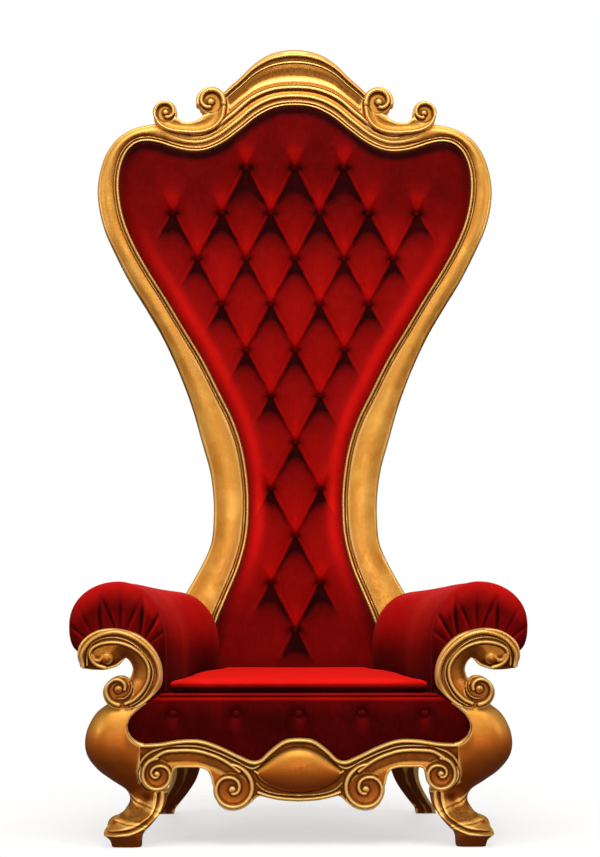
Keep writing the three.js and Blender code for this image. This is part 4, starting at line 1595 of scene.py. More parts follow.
@dataclass
class ArmScroll:
    """Carved C on the front of an arm. Drawn in millimetres, for the right side."""

    near: float = -18.0
    far: float = 11.6
    curl: tuple[float, float] = (498, 431)
    outer: Points = ((603, 494), (611, 520), (607, 550), (590, 573), (560, 591), (520, 598),
                     (480, 593), (438, 577), (402, 543), (383, 507), (377, 472), (381, 440), (405, 411),
                     (438, 386), (471, 375), (498, 376), (520, 383), (535, 400), (541, 423), (535, 443),
                     (517, 460), (498, 467), (480, 466), (470, 459))
    inner: Points = ((463, 468), (459.5, 487), (467, 506), (479, 516), (486, 509), (498, 497), (512, 490.5),
                     (534, 484), (569, 484), (592, 487))

    def forms(self) -> list[Bead | Dome]:
        """Beads of the limb and its two curls.

        Returns:
            The forms.
        """
        first = through([(597, 494), (600, 524), (587, 550), (562, 573), (516, 588), (470, 580), (429, 554),
                         (401, 522), (387, 488), (386, 460), (396, 432), (419, 402), (447, 382)])
        thin = through([(584, 498), (584, 520), (580, 543), (564, 561), (534, 573), (498, 573), (461, 559),
                        (429, 531), (408, 501), (403, 469), (413, 437), (438, 402), (466, 386)])
        third = through([(534, 491), (557, 499), (571, 512), (577, 527), (571, 543), (551, 555), (516, 561),
                         (479, 555), (447, 538), (424, 513), (414, 488), (416, 458), (429, 430),
                         (456, 402), (478, 392)])
        neck = through([(540, 518), (552, 510), (563, 512), (571, 524)])
        tongue = through([(530, 489), (505, 497), (484, 512)], 6)
        outside = through([(463, 452), (461, 434), (468, 418), (482, 407), (500, 405)], 6)
        return [
            Bead(first, 15, 13, ground=2), Bead(thin, 6, 8, ground=2), Bead(third, 12, 13, ground=2),
            Bead(neck, 15, 12), Bead(tongue, 8, 8), Bead(outside, 4, 7),
            *volute(self.curl, (42, 34, 27, 17), -90, 1, 16, 15, 12),
            Dome((532, 516), (20, 19), 17, ground=-3),
        ]

    def relief(self, points: Array) -> Array:
        """Height of the carving: a cove that falls from the beads to the inner edge.

        Args:
            points: Drawn points.

        Returns:
            The heights.
        """
        inner = through(self.inner, 6)
        away, _ = nearest(points, inner)
        ground = -14.0 + 18.0 * ramp(away, -4.0, 44.0)
        dished = away_from(points, self.curl) < 40
        ground = np.where(dished, np.minimum(ground, -3.0), ground)
        return highest(ground, self.forms(), points)

    def build(self, shop: Workshop, side: Side) -> None:
        """Builds the scroll of one side.

        Args:
            shop: Places and dresses the pieces.
            side: Side of the throne.
        """
        outline = np.vstack([through(self.outer), through(self.inner, 6)])
        slab = Carving(outline, back=self.far - self.near, near=self.near, cell=1.3, rounding=4.0)
        bm = for_side(slab.build(self.relief), side)
        piece = new_object(f"carved_arm_scroll_{side.word}", place(bm, shop.layout.front_matrix))
        sunk = (points_of(piece)[:, 1] - shop.layout.front_y) / MM - self.near
        # Painted shade in the sunk ground of the carving.
        mark_hollows_and_shade(piece, 4, 0.22 * ramp(sunk, 1.0, 11.0) * (sunk < 16))
        shop.fit(piece, Slot.GILDING, f"arm_scroll_{side.word}")


@dataclass
class FrontLeg:
    """Cabriole knee and leaf-carved foot. Levels are z, inner x, outer x, near and far depth."""

    levels: Points = (
        (402, 440, 508, 0, 92), (385, 433, 532, -14, 104), (360, 430, 563, -34, 118),
        (317, 430, 586, -54, 128), (278, 428, 592, -60, 130), (245, 418, 585, -56, 126),
        (207, 396, 557, -40, 116), (177, 376, 518, -22, 104), (149, 363, 478, -8, 92),
        (131, 365, 469, -6, 84), (117, 368, 471, -10, 78), (105, 372, 480, -18, 73),
        (93, 380, 491, -30, 68), (82, 388, 505, -44, 65), (75, 393, 521, -51, 64),
        (68, 399, 525, -55, 62), (58, 408, 525, -58, 60), (51, 415, 526, -61, 59),
        (42, 424, 530, -64, 58), (34, 429, 532, -65, 57), (26, 432, 528, -61, 54),
        (17, 433, 520, -55, 50), (0, 434, 515, -47, 44))
    columns: int = 140
    apron_far: float = 31.0
    apron_end: float = 438.0
    volute_room: float = 53.0
    border_far: float = 12.4
    platform_side: float = 453.5

    def rings(self) -> Array:
        """Rings of the leg from the top down.

        Returns:
            The rings.
        """
        run = through(self.levels, 12)
        angle = np.linspace(0, 2 * np.pi, self.columns, endpoint=False)
        cos, sin = np.cos(angle), np.sin(angle)
        rings = []
        for z, inner, outer, near, far in run:
            squared = 0.45 + 0.27 * float(ramp(z, 25.0, 70.0))
            px = np.sign(cos) * np.abs(cos) ** squared * 0.503
            py = np.sign(sin) * np.abs(sin) ** squared * 0.503
            x = (inner + outer) / 2 + px * (outer - inner)
            y = (near + far) / 2 + py * (far - near)
            rings.append(in_plan(np.column_stack([x, y]), z))
        return np.array(rings)

    def leaf(self, flat: Array) -> Array:
        """Relief of the foot: a scooped leaf over two beads with a groove between.

        Args:
            flat: Drawn points.

        Returns:
            The heights.
        """
        first = through([(396, 140), (398, 117), (410, 87), (435, 68), (466, 54), (509, 48), (530, 46)])
        second = through([(378, 146), (382, 112), (398, 81), (429, 54), (466, 39), (503, 34), (534, 35)])
        groove = through([(387, 143), (390, 114), (404, 84), (432, 61), (466, 46.5), (506, 41),
                          (532, 40)])
        scoop = through([(423, 124), (438, 104), (463, 86), (503, 67), (516, 63)])
        beyond = np.array([(527.0, 80.0), (527.0, 50.0)])
        lift = np.zeros(len(flat))
        for line, height, width, reach in ((first, 5.0, 5.5, 30), (second, 7.0, 5.5, 30),
                                           (groove, -10.0, 4.0, 30), (scoop, -13.0, 15.0, 60),
                                           (beyond, -6.0, 5.0, 30)):
            lift += height * bell(nearest(flat, line, reach)[0], width)
        return lift

    def carve(self, rings: Array) -> Array:
        """Presses the foot's relief into its front and outer faces, and gives its height at all points.

        Args:
            rings: The body's rings; they are changed.

        Returns:
            The relief's height at all points.
        """
        points = rings.reshape(-1, 3)
        low = np.flatnonzero(points[:, 2] < 172)
        spots = points[low]
        middle = np.repeat(rings.mean(axis=1), self.columns, axis=0)[low]
        outward = unit(spots[:, :2] - middle[:, :2])
        facing = np.clip(-outward[:, 1] * 1.8, 0, 1)
        siding = np.clip(outward[:, 0] * 1.8 - 0.5, 0, 1) * (1 - facing)
        front = self.leaf(spots[:, [0, 2]])
        side = self.leaf(np.column_stack([511 - (spots[:, 1] + 44) * 0.9, spots[:, 2]]))
        lift = (front * facing + side * siding) * (1 - ramp(spots[:, 2], 132.0, 160.0))
        points[low, :2] += outward * lift[:, None]
        whole = np.zeros(len(points))
        whole[low] = lift
        return whole

    def make_room(self, rings: Array) -> None:
        """Keeps the knee outside the seat's padded front and the apron's end.

        Args:
            rings: The body's rings; they are changed.
        """
        side = through(BORDER_SIDE, 10)
        border_z, border_x = side[::-1, 1], side[::-1, 0]
        for ring in rings:
            z = ring[0, 2]
            if 281 <= z <= 402:
                edge = float(np.interp(z, border_z, border_x)) + 3.0
                front = ring[:, 1] < self.border_far
                ring[front, 0] = np.maximum(ring[front, 0], edge)
                behind = (ring[:, 1] >= self.border_far) & (z > 299)
                ring[behind, 0] = np.maximum(ring[behind, 0], self.platform_side)
            if 151 <= z < 281:
                edge = self.apron_end
                if z <= 222:
                    edge = 391 + math.sqrt(max(self.volute_room**2 - (z - 197) ** 2, 0.0))
                front = ring[:, 1] < self.apron_far
                ring[front, 0] = np.maximum(ring[front, 0], edge)

    def lip(self) -> BMesh:
        """Bead that frames the end of the seat's padded front.

        Returns:
            The bead.
        """
        line = through([(430, 276), (449, 283), (468, 299), (478, 320), (478, 336), (467, 360),
                        (445, 381), (425, 396)], 10)
        ahead = unit(np.gradient(line, axis=0))
        across = np.column_stack([-ahead[:, 1], ahead[:, 0]])
        angle = np.linspace(0, 2 * np.pi, 16, endpoint=False)
        rings = []
        for point, normal in zip(line, across):
            flat = point + np.outer(np.cos(angle) * 6.5, normal)
            depth = -17 + np.where(np.sin(angle) > 0, 20, 11) * np.sin(angle)
            rings.append(upright(flat, depth))
        return tube(np.array(rings))

    def build(self, shop: Workshop, side: Side) -> None:
        """Builds the leg of one side.

        Args:
            shop: Places and dresses the pieces.
            side: Side of the throne.
        """
        rings = self.rings()
        lift = self.carve(rings)
        self.make_room(rings)
        bm = tube(rings)
        join(bm, self.lip())
        bm = place(for_side(bm, side), shop.layout.front_matrix)
        piece = new_object(f"cabriole_leg_{side.word}", bm)
        toned = np.zeros(len(piece.data.vertices))
        # Painted highlights on the foot's beads, painted shade in its grooves; darker at the base and a
        # little darker above the foot.
        toned[:len(lift)] = np.clip(-lift * 0.04, -0.35, 0.35)
        height = points_of(piece)[:, 2] / MM
        toned += 0.25 * (1 - ramp(height, 16.0, 24.0)) + 0.09 * ramp(height, 130.0, 170.0)
        mark_hollows_and_shade(piece, 5, toned)
        shop.fit(piece, Slot.GILDING, f"front_leg_{side.word}")


@dataclass
class BackLeg:
    """Plain sabre leg with eased edges and a fluted front. Levels as on the front leg."""

    levels: Points = (
        (195, 288, 400, 640, 686), (150, 286, 372, 636, 692), (110, 298, 372, 650, 706),
        (70, 322, 388, 672, 724), (30, 352, 412, 694, 746), (16, 362, 422, 700, 754),
        (0, 366, 426, 702, 758))
    flute: float = 3.0
    corner: float = 4.0

    def section(self, inner: float, outer: float, near: float, far: float) -> Array:
        """Section in plan, with eased corners and a front of two shallow flutes.

        Args:
            inner: Inner side.
            outer: Outer side.
            near: Front.
            far: Back.

        Returns:
            Points of the section.
        """
        across = np.linspace(0.1, 0.9, 9)
        dip = self.flute * np.sin(np.pi * across * 2) ** 2
        front = np.column_stack([inner + (outer - inner) * across, near + dip])
        corner, ease = self.corner, self.corner * 0.3
        return np.vstack([
            [(inner + ease, near + ease)], front,
            [(outer - ease, near + ease), (outer, near + corner), (outer, far - corner),
             (outer - corner, far), (inner + corner, far), (inner, far - corner),
             (inner, near + corner)]])

    def build(self, shop: Workshop, side: Side) -> None:
        """Builds the leg of one side.

        Args:
            shop: Places and dresses the pieces.
            side: Side of the throne.
        """
        rings = np.array([in_plan(self.section(*sides), z) for z, *sides in through(self.levels)])
        rings[0, :, 2] -= (rings[0, :, 1] - BACK_DEPTH) * math.tan(shop.layout.lean)
        bm = place(for_side(tube(rings), side), shop.layout.front_matrix)
        piece = new_object(f"sabre_leg_{side.word}", bm, 30.0)
        mark_hollows_and_shade(piece, 2)
        # The back legs take the darker copy of the gilding: painted shade.
        shop.fit(piece, Slot.DARK_GILDING, f"back_leg_{side.word}")


@dataclass
class SideRail:
    """Moulded rail between the front leg and the back. Drawn in millimetres."""

    low: float = 216.0
    high: float = 299.0
    front: tuple[float, float, float] = (100.0, 442.0, 489.0)
    back: tuple[float, float, float] = (606.0, 380.0, 432.0)

    def build(self, shop: Workshop, side: Side) -> None:
        """Builds the rail of one side.

        Args:
            shop: Places and dresses the pieces.
            side: Side of the throne.
        """
        face = [(0.0, -14.0), *[(4 + s, -14 + h) for s, h in bead_profile(0, 12, 0, 12)], (20.0, -6.0),
                (34.0, -3.0), (58.0, -3.0), (64.0, -8.0),
                *[(66 + s, -9 + h) for s, h in bead_profile(0, 9, 0, 9)], (78.0, -10.0), (83.0, -12.0)]
        rings = []
        for share in np.linspace(0, 1, 24):
            depth, inner, outer = (np.array(self.front) + (np.array(self.back) - self.front) * share)
            outline = [(outer + h, self.low + s) for s, h in face]
            outline += [(inner, self.high), (inner, self.low)]
            rings.append(upright(np.array(outline), depth))
        bm = place(for_side(tube(np.array(rings)), side), shop.layout.front_matrix)
        piece = new_object(f"moulded_side_rail_{side.word}", bm)
        mark_hollows_and_shade(piece, 2)
        shop.fit(piece, Slot.GILDING, f"side_rail_{side.word}")


# ---- arms and seat


@dataclass
class PaddedArm:
    """Upholstered arm: a wall with a wide roll, pleated over its front. Drawn for the right side.

    Sections are depth, inner x, outer x, top z, outside panel x, and the x and z that the inner
    quarter of the roll turns between.
    """

    sections: Points = (
        (13, 392, 604, 655, 452, 500, 570), (40, 378, 638, 708, 452, 505, 555),
        (66, 368, 640, 724, 452, 505, 545), (110, 356, 634, 721, 451, 500, 535),
        (240, 330, 612, 712, 447, 474, 520), (370, 311, 584, 700, 441, 447, 510),
        (450, 284, 562, 690, 438, 415, 505), (520, 244, 542, 682, 434, 385, 500),
        (590, 229, 528, 676, 430, 362, 498), (664, 226, 520, 670, 428, 354, 496))
    low: float = 299.4
    under: float = 516.0
    shoulder: float = 600.0
    to_back: float = 16.5
    face_depth: float = 13.0
    roll_depth: float = 53.0
    face_middle: tuple[float, float] = (425.0, 530.0)
    gather_from: tuple[float, float] = (494.0, 444.0)
    pleats: Sequence[float] = (28, 40, 51, 61, 72, 82, 90, 99, 109, 119, 129)

    def outline(self, inner: float, outer: float, top: float, panel: float, peak: float,
                turn: float) -> Array:
        """Closed section, evenly divided, starting at the foot of the inner face.

        Args:
            inner: Inner side.
            outer: Outer side.
            top: Height of the top.
            panel: Place of the outside panel.
            peak: Where the roll is highest.
            turn: Height where the inner face turns in.

        Returns:
            Points of the section.
        """
        rise = np.radians(np.linspace(180, 90, 24))
        inside_turn = np.column_stack([peak + (peak - inner) * np.cos(rise),
                                       turn + (top - turn) * np.sin(rise) ** 0.95])
        fall = np.radians(np.linspace(90, 0, 20))[1:]
        crown = np.column_stack([peak + (outer - peak) * np.cos(fall),
                                 self.shoulder + (top - self.shoulder) * np.sin(fall) ** 0.9])
        nose = through([(outer, self.shoulder), (outer - 2, 572), (outer - 12, 543), (outer - 34, 524),
                        (outer - 70, self.under), (panel + 26, self.under - 1), (panel + 8, self.under - 6),
                        (panel, self.under - 18), (panel, 470)], 6)[1:]
        line = np.vstack([[(inner, self.low), (inner, 400)], inside_turn, crown, nose,
                          [(panel, 400), (panel, self.low)]])
        return evenly(looped(line), 321)[:-1]

    def rings(self) -> Array:
        """Rings from the front face back: the flat face, then the rolled edge, then the arm.

        Returns:
            The rings.
        """
        steps = 10
        rings = []
        middle = np.array(self.face_middle)
        face = self.outline(*self.sections[0][1:])
        for share in np.linspace(0.10, 0.98, 34):
            swell = 1.2 * math.sin(math.pi * share)
            rings.append(upright(middle + (face - middle) * share, self.face_depth - swell))
        first, last = np.array(self.sections[0][1:]), np.array(self.sections[2][1:])
        for turn in np.linspace(0.0, math.pi / 2, 16):
            flat = self.outline(*(first + (last - first) * math.sin(turn)))
            rings.append(upright(flat, self.face_depth + self.roll_depth * (1 - math.cos(turn))))
        for depth, *sizes in through(self.sections, steps)[2 * steps + 1:]:
            rings.append(upright(self.outline(*sizes), depth))
        return np.array(rings)

    def gather(self, points: Array) -> Array:
        """Depth of the gathered folds that fan out from the scroll, from 0 to 1, at drawn points.

        Args:
            points: Drawn points.

        Returns:
            The depths.
        """
        offset = points[:, [0, 2]] - np.array(self.gather_from)
        angle = np.degrees(np.arctan2(offset[:, 1], offset[:, 0]))
        reach = np.hypot(*offset.T)
        fade = bell(reach - 186, 46) * (1 - ramp(points[:, 1], 24.0, 62.0))
        fade = fade * (points[:, 2] > 480)
        fold = np.zeros(len(points))
        for number, spot in enumerate(self.pleats):
            bend = 5.0 * math.sin(number * 2.1) * (reach - 180) / 60
            fold += (0.7 + 0.3 * math.sin(number * 1.7)) * bell(angle - spot - bend, 1.5)
        return fold * fade

    def pleat(self, rings: Array) -> None:
        """Gathers the front cover into folds.

        Args:
            rings: The body's rings; they are changed.
        """
        points = rings.reshape(-1, 3)
        front = np.flatnonzero(points[:, 1] < 95)
        offset = points[front][:, [0, 2]] - np.array(self.gather_from)
        outward = offset / np.maximum(np.hypot(*offset.T), 1.0)[:, None]
        depth = 7.0 * self.gather(points[front])
        points[front, 1] += depth
        points[np.ix_(front, [0, 2])] -= outward * (depth * 0.3)[:, None]

    def lean_back(self, rings: Array, layout: Layout) -> None:
        """Ends the arm on the leaning plane of the back.

        Args:
            rings: The body's rings; they are changed.
            layout: Shared places.
        """
        pivot_depth = (layout.pivot.y - layout.front_y) / MM
        rise = rings[:, :, 2] - PIVOT_HEIGHT
        limit = pivot_depth - self.to_back / math.cos(layout.lean) + math.tan(layout.lean) * rise
        rings[:, :, 1] = np.minimum(rings[:, :, 1], limit)

    def build(self, shop: Workshop, side: Side) -> None:
        """Builds the arm of one side.

        Args:
            shop: Places and dresses the pieces.
            side: Side of the throne.
        """
        rings = self.rings()
        self.pleat(rings)
        self.lean_back(rings, shop.layout)
        bm = tube(rings)
        drawn = np.array([v.co for v in bm.verts])
        bm = place(for_side(bm, side), shop.layout.front_matrix)
        piece = new_object(f"padded_arm_{side.word}", bm, 80.0)
        self.shade(piece, drawn, side)
        shop.fit(piece, Slot.VELVET, f"arm_{side.word}")

    def shade(self, piece: Object, drawn: Array, side: Side) -> None:
        """Paints light and shade into the velvet: bright on the top and inner shoulder, painted shade in the
        gathers.

        Args:
            piece: The piece.
            drawn: Drawn place of each point.
            side: Side of the throne.
        """
        normal = normals_of(piece)
        inward = np.clip(-normal[:, 0] * side.value, 0, 1)
        outward = np.clip(normal[:, 0] * side.value, 0, 1)
        # Painted light: bright on top, painted shade in the front corner by the scroll, lighter on the outer
        # shoulder and the inner side further back.
        corner = (1 - ramp(drawn[:, 0], 400.0, 470.0)) * (1 - ramp(drawn[:, 2], 480.0, 620.0))
        nap = 0.13 - 0.09 * corner + 0.46 * np.clip(normal[:, 2], 0, 1)
        nap += 0.14 * outward * ramp(drawn[:, 2], 560.0, 640.0)
        deep = ramp(drawn[:, 1], 20.0, 280.0)
        nap += inward * (-0.01 + 0.17 * deep * ramp(drawn[:, 2], 430.0, 600.0))
        # Painted shade in each fold of the gathers, a painted highlight beside it.
        fold = self.gather(drawn)
        nap -= 0.25 * fold
        ridge = self.gather(drawn + np.array([5.0, 0.0, 0.0]))
        nap += 0.14 * np.clip(ridge - fold, 0.0, 1.0)
        mark(piece, "nap", np.clip(nap, 0.01, 1.0))


@dataclass
class SeatBase:
    """Seat platform and its padded front with five buttons. Drawn in millimetres."""

    near: float = -4.0
    far: float = 11.6
    button_step: float = 174.0
    button_height: float = 362.0
    low: float = 238.0
    high: float = 416.0
    front_top: float = 418.0
    welt_end: float = 384.0
    apron_far: float = 31.0
    side: Points = ((372, 20), (355, 110), (329, 240), (310, 370), (283, 450), (243, 520), (228, 588))

    def front_outline(self) -> Array:
        """Closed outline of the padded front.

        Returns:
            The outline.
        """
        lower = through(APRON_TOP)[::-1] + np.array([0.0, 0.8])
        top = [(x, self.front_top) for x in (0, 120, 240, 340)]
        return mirrored(np.vstack([top, through(BORDER_SIDE), lower[1:]]))

    def spots(self) -> list[tuple[float, float]]:
        """Places of the buttons."""
        return [(n * self.button_step, self.button_height) for n in range(-2, 3)]

    def relief(self, points: Array, closed: Array) -> Array:
        """Height of the swelling front, pulled in at its buttons, with a welt along the top.

        Args:
            points: Drawn points.
            closed: Outline, closed.

        Returns:
            The heights.
        """
        distance, _ = nearest(points, closed, 60.0)
        body = 10.0 * dome(1 - np.clip(distance / 55.0, 0, 1))
        for spot in self.spots():
            away = away_from(points, spot)
            body -= 6.0 * bell(away, 15.0) + 3.0 * bell(away, 42.0)
        top = self.front_top - points[:, 1]
        body += 2.5 * bell(top - 15, 7.0) - 4.0 * bell(top - 8.0, 2.5)
        welt = 9.0 * dome((top - 3.5) / 3.5)
        return np.where(np.abs(points[:, 0]) < self.welt_end, np.maximum(body, welt), body)

    def platform(self) -> BMesh:
        """Box between the arms behind the padded front.

        Returns:
            The box.
        """
        side = evenly(through([(x - 1.6, d) for x, d in self.side], 6), 40)
        side[0, 1], side[-1, 1] = 11.0, 588.0
        plan = np.vstack([side, side[::-1] * np.array([-1.0, 1.0])])
        middle = plan.mean(axis=0)
        levels = ((self.low, 0.99), (self.low + 3, 1.0), (self.high - 3, 1.0), (self.high, 0.99))
        rings = np.array([in_plan(middle + (plan - middle) * share, z) for z, share in levels])
        room = (rings[:, :, 1] < self.apron_far) & (rings[:, :, 2] < 300)
        rings[:, :, 1] = np.where(room, self.apron_far, rings[:, :, 1])
        return tube(rings)

    def shade(self, piece: Object, layout: Layout) -> None:
        """Paints light and shade into the velvet: dark below, a painted highlight along the top edge.

        Args:
            piece: The piece.
            layout: Shared places.
        """
        drawn = (points_of(piece) - np.array([0.0, layout.front_y, 0.0])) / MM
        normal = normals_of(piece)
        # Painted light: brighter on faces that look up, with painted highlights along the top.
        nap = 0.06 + 0.20 * np.clip(normal[:, 2], 0, 1)
        nap += 0.30 * bell(drawn[:, 2] - 404, 6.0) + 0.06 * ramp(drawn[:, 2], 340.0, 405.0)
        nap += 0.16 * bell(drawn[:, 2] - 414.5, 2.2)
        # Painted shade round each button, a painted highlight just below it.
        for x, z in self.spots():
            nap -= 0.06 * bell(away_from(drawn[:, [0, 2]], (x, z)), 24.0)
            nap += 0.07 * bell(drawn[:, 0] - x, 15.0) * bell(drawn[:, 2] - z + 26, 20.0)
        mark(piece, "nap", np.clip(nap, 0.01, 1.0))

    def build(self, shop: Workshop) -> None:
        """Builds the base and the buttons of its front.

        Args:
            shop: Places and dresses the pieces.
        """
        outline = self.front_outline()
        slab = Carving(outline, back=self.far - self.near, near=self.near, cell=2.6, rounding=3.0)
        bm = slab.build(partial(self.relief, closed=looped(outline)))
        join(bm, self.platform())
        piece = new_object("seat_base_and_front", place(bm, shop.layout.front_matrix), 70.0)
        self.shade(piece, shop.layout)
        shop.fit(piece, Slot.VELVET, "seat_base")
        for number, (x, z) in enumerate(self.spots(), start=1):
            spot = shop.layout.front_matrix @ Vector((x, self.near - 2.0, z))
            button = covered_button(f"front_button_{number}", spot, 0.0)
            shop.fit(button, Slot.VELVET, f"border_button_{number}")


@dataclass
class SeatCushion:
    """Loose cushion, blown up as cloth inside the space of its CAD solid."""

    voxel: float = 0.006
    pressure: float = 4.0
    frames: int = 20
    cap: float = 0.006
    shrink: tuple[float, float, float] = (0.992, 0.992, 0.86)

    def build(self, shop: Workshop) -> None:
        """Builds the cushion.

        Args:
            shop: Places and dresses the pieces.
        """
        bm = bmesh.new()
        bm.from_mesh(bpy.data.objects["seat_cushion"].data)
        bmesh.ops.remove_doubles(bm, verts=bm.verts, dist=1e-5)
        low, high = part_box("seat_cushion")
        middle = (low + high) / 2
        bmesh.ops.translate(bm, vec=-middle, verts=bm.verts)
        bmesh.ops.scale(bm, vec=self.shrink, verts=bm.verts)
        bmesh.ops.translate(bm, vec=middle, verts=bm.verts)
        piece = new_object("velvet_seat_cushion", bm, 80.0)
        self.remesh(piece)
        self.inflate(piece)
        self.settle(piece, low.z)
        for polygon in piece.data.polygons:
            polygon.use_smooth = True
        # Painted light: bright on top, dark on the sides.
        mark(piece, "nap", 0.02 + 0.98 * np.clip(normals_of(piece)[:, 2], 0, 1) ** 1.5)
        shop.fit(piece, Slot.VELVET, "seat_cushion")

    def remesh(self, piece: Object) -> None:
        """Turns the copy into an even mesh.

        Args:
            piece: The piece.
        """
        modifier = piece.modifiers.new("even", "REMESH")
        modifier.mode = "VOXEL"
        modifier.voxel_size = self.voxel
        apply_modifiers(piece)

    def inflate(self, piece: Object) -> None:
        """Blows the cover up a little as cloth and keeps the result.

        Args:
            piece: The piece.
        """
        before = points_of(piece)
        cloth = piece.modifiers.new("cover", "CLOTH")
        cloth.settings.use_pressure = True
        cloth.settings.uniform_pressure_force = self.pressure
        cloth.settings.effector_weights.gravity = 0.0
        cloth.settings.quality = 5
        cloth.point_cache.frame_start, cloth.point_cache.frame_end = 1, self.frames
        scene = bpy.context.scene
        for frame in range(1, self.frames + 1):
            scene.frame_set(frame)
        after = evaluated_points(piece)
        piece.modifiers.clear()
        scene.frame_set(1)
        moved = after - before
        length = np.linalg.norm(moved, axis=1, keepdims=True)
        moved *= np.minimum(1.0, self.cap / np.maximum(length, 1e-9))
        set_points(piece, before + moved)

    def settle(self, piece: Object, floor: float) -> None:
        """Keeps the cushion's underside on the platform and adds one subdivision.

        Args:
            piece: The piece.
            floor: Height of the platform.
        """
        points = points_of(piece)
        points[:, 2] = np.maximum(points[:, 2], floor)
        set_points(piece, points)
        modifier = piece.modifiers.new("smooth", "SUBSURF")
        modifier.levels = modifier.render_levels = 1
        apply_modifiers(piece)


def set_points(piece: Object, points: Array) -> None:
    """Moves the points of a piece's mesh."""
    piece.data.vertices.foreach_set("co", points.ravel())
    piece.data.update()


def evaluated_points(piece: Object) -> Array:
    """Points of a piece with its modifiers worked out.

    Args:
        piece: The piece.

    Returns:
        One row per point.
    """
    solved = piece.evaluated_get(bpy.context.evaluated_depsgraph_get())
    points = read_rows(solved.to_mesh(), "co")
    solved.to_mesh_clear()
    return points


def apply_modifiers(piece: Object) -> None:
    """Works the modifiers into the mesh and removes them.

    Args:
        piece: The piece.
    """
    solved = piece.evaluated_get(bpy.context.evaluated_depsgraph_get())
    mesh = bpy.data.meshes.new_from_object(solved)
    piece.modifiers.clear()
    piece.data = mesh


# ---- studio


@dataclass(frozen=True)
class Softbox:
    """Square light that looks at a target. Metres and watts."""

    name: str
    spot: tuple[float, float, float]
    target: tuple[float, float, float]
    size: float
    power: float

    def build(self) -> None:
        """Adds the light to the scene."""
        data = bpy.data.lights.new(self.name, "AREA")
        data.size = self.size
        data.energy = self.power
        data.color = (1.0, 0.97, 0.92)
        lamp = bpy.data.objects.new(self.name, data)
        lamp.location = self.spot
        sight = Vector(self.target) - Vector(self.spot)
        lamp.rotation_euler = sight.to_track_quat("-Z", "Y").to_euler()
        bpy.context.scene.collection.objects.link(lamp)


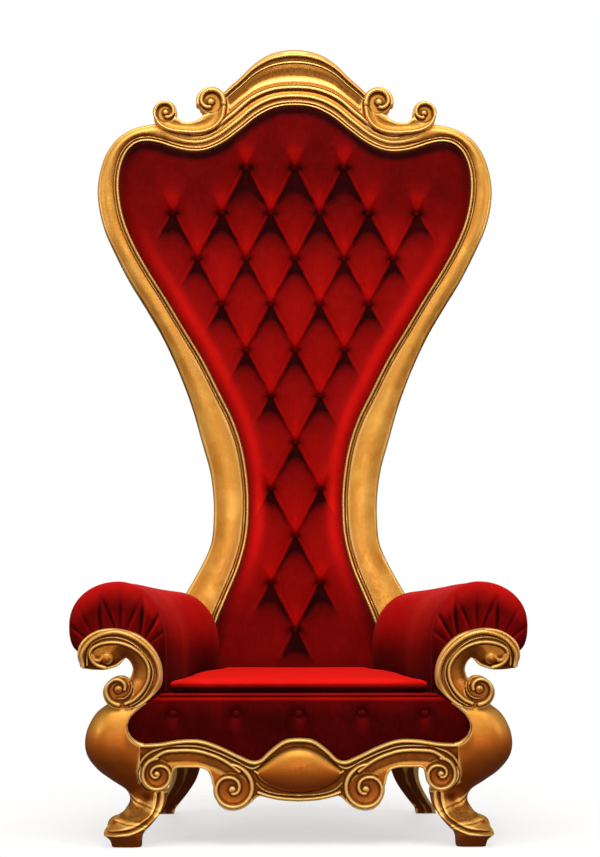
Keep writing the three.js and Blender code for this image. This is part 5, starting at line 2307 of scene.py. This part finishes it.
@dataclass
class Studio:
    """Pale floor, soft lights and the camera. Metres."""

    distance: float = 7.5
    camera_x: float = -0.12
    camera_height: float = 1.0
    lens: float = 113.7
    pitch: float = 1.153
    yaw: float = 0.938
    floor_radius: float = 2.6
    lamps: tuple[Softbox, ...] = (
        Softbox("overhead", (0.0, -1.5, 4.4), (0.0, 0.0, 0.7), 3.2, 145.0),
        Softbox("low front", (0.0, -5.0, 1.2), (0.0, 0.3, 1.2), 2.0, 85.0),
        Softbox("left", (-3.4, -2.2, 2.4), (0.0, 0.2, 1.1), 1.4, 38.0),
        Softbox("right", (3.4, -2.2, 2.4), (0.0, 0.2, 1.1), 1.4, 38.0),
        Softbox("behind", (0.0, 4.5, 2.6), (0.0, 0.3, 1.2), 2.2, 50.0))

    def build(self, layout: Layout) -> None:
        """Builds the studio round the throne.

        Args:
            layout: Shared places.
        """
        self.floor()
        self.camera(layout)
        for lamp in self.lamps:
            lamp.build()
        self.surroundings()
        bpy.context.scene.view_settings.view_transform = "Standard"

    def surroundings(self) -> None:
        """Makes the white background, and a dimmer room that lights the throne from above."""
        world = bpy.data.worlds.new("studio")
        world.use_nodes = True
        tree = Tree(world.node_tree)
        room = world.node_tree.nodes["Background"]
        direction = tree.node("ShaderNodeTexCoord").outputs["Generated"]
        parts = tree.node("ShaderNodeSeparateXYZ")
        tree.wire(direction, parts.inputs[0])
        rise = tree.span(parts.outputs["Z"], -0.25, 0.6)
        tree.wire(tree.blend(rise, (0.22, 0.17, 0.12, 1.0), (1.0, 0.97, 0.9, 1.0)), room.inputs["Color"])
        room.inputs["Strength"].default_value = 0.42
        white = tree.node("ShaderNodeBackground")
        white.inputs["Color"].default_value = (1.0, 1.0, 1.0, 1.0)
        mix = tree.node("ShaderNodeMixShader")
        tree.wire(tree.node("ShaderNodeLightPath").outputs["Is Camera Ray"], mix.inputs[0])
        tree.wire(room.outputs[0], mix.inputs[1])
        tree.wire(white.outputs[0], mix.inputs[2])
        tree.wire(mix.outputs[0], world.node_tree.nodes["World Output"].inputs["Surface"])
        bpy.context.scene.world = world

    def floor(self) -> None:
        """Makes the floor, a pale round sheet that fades out into the white background."""
        bm = bmesh.new()
        bmesh.ops.create_circle(bm, cap_ends=True, segments=96, radius=self.floor_radius)
        sheet = new_object("studio_floor", bm)
        pale, tree, shader = new_material("pale floor")
        place = tree.node("ShaderNodeTexCoord").outputs["Object"]
        clouds = tree.noise(place, 1.5, 3.0)
        tree.wire(tree.blend(clouds, (0.95, 0.95, 0.95, 1.0), (0.98, 0.98, 0.98, 1.0)),
                  shader.inputs["Base Color"])
        reach = tree.node("ShaderNodeVectorMath", operation="LENGTH")
        tree.wire(place, reach.inputs[0])
        tree.wire(tree.span(reach.outputs["Value"], 0.4, 1.3, 0.42, 0.0), shader.inputs["Alpha"])
        shader.inputs["Roughness"].default_value = 0.8
        sheet.data.materials.append(pale)

    def camera(self, layout: Layout) -> None:
        """Sets the camera in front of the throne, a little to its left.

        Args:
            layout: Shared places.
        """
        data = bpy.data.cameras.new("camera")
        data.lens = self.lens
        data.sensor_width = 36.0
        camera = bpy.data.objects.new("camera", data)
        camera.location = (self.camera_x, layout.front_y - self.distance, self.camera_height)
        camera.rotation_euler = (math.radians(90.0 + self.pitch), 0.0, math.radians(-self.yaw))
        bpy.context.scene.collection.objects.link(camera)
        bpy.context.scene.camera = camera


def build_throne(shop: Workshop) -> None:
    """Builds every piece in order.

    Args:
        shop: Places and dresses the pieces.
    """
    for part in (BackFrame(), ButtonedBack(), OutsideCover(), FrontApron()):
        part.build(shop)
    for side in Side:
        for part in (ArmScroll(), FrontLeg(), BackLeg(), SideRail(), PaddedArm()):
            part.build(shop, side)
    SeatBase().build(shop)
    SeatCushion().build(shop)


def main() -> None:
    """Loads the frame, and builds the studio and the throne."""
    logging.basicConfig(level=logging.INFO, format="%(name)s: %(message)s")
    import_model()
    layout = Layout.from_frame()
    Studio().build(layout)
    build_throne(Workshop(layout))


if __name__ == "__main__":
    main()
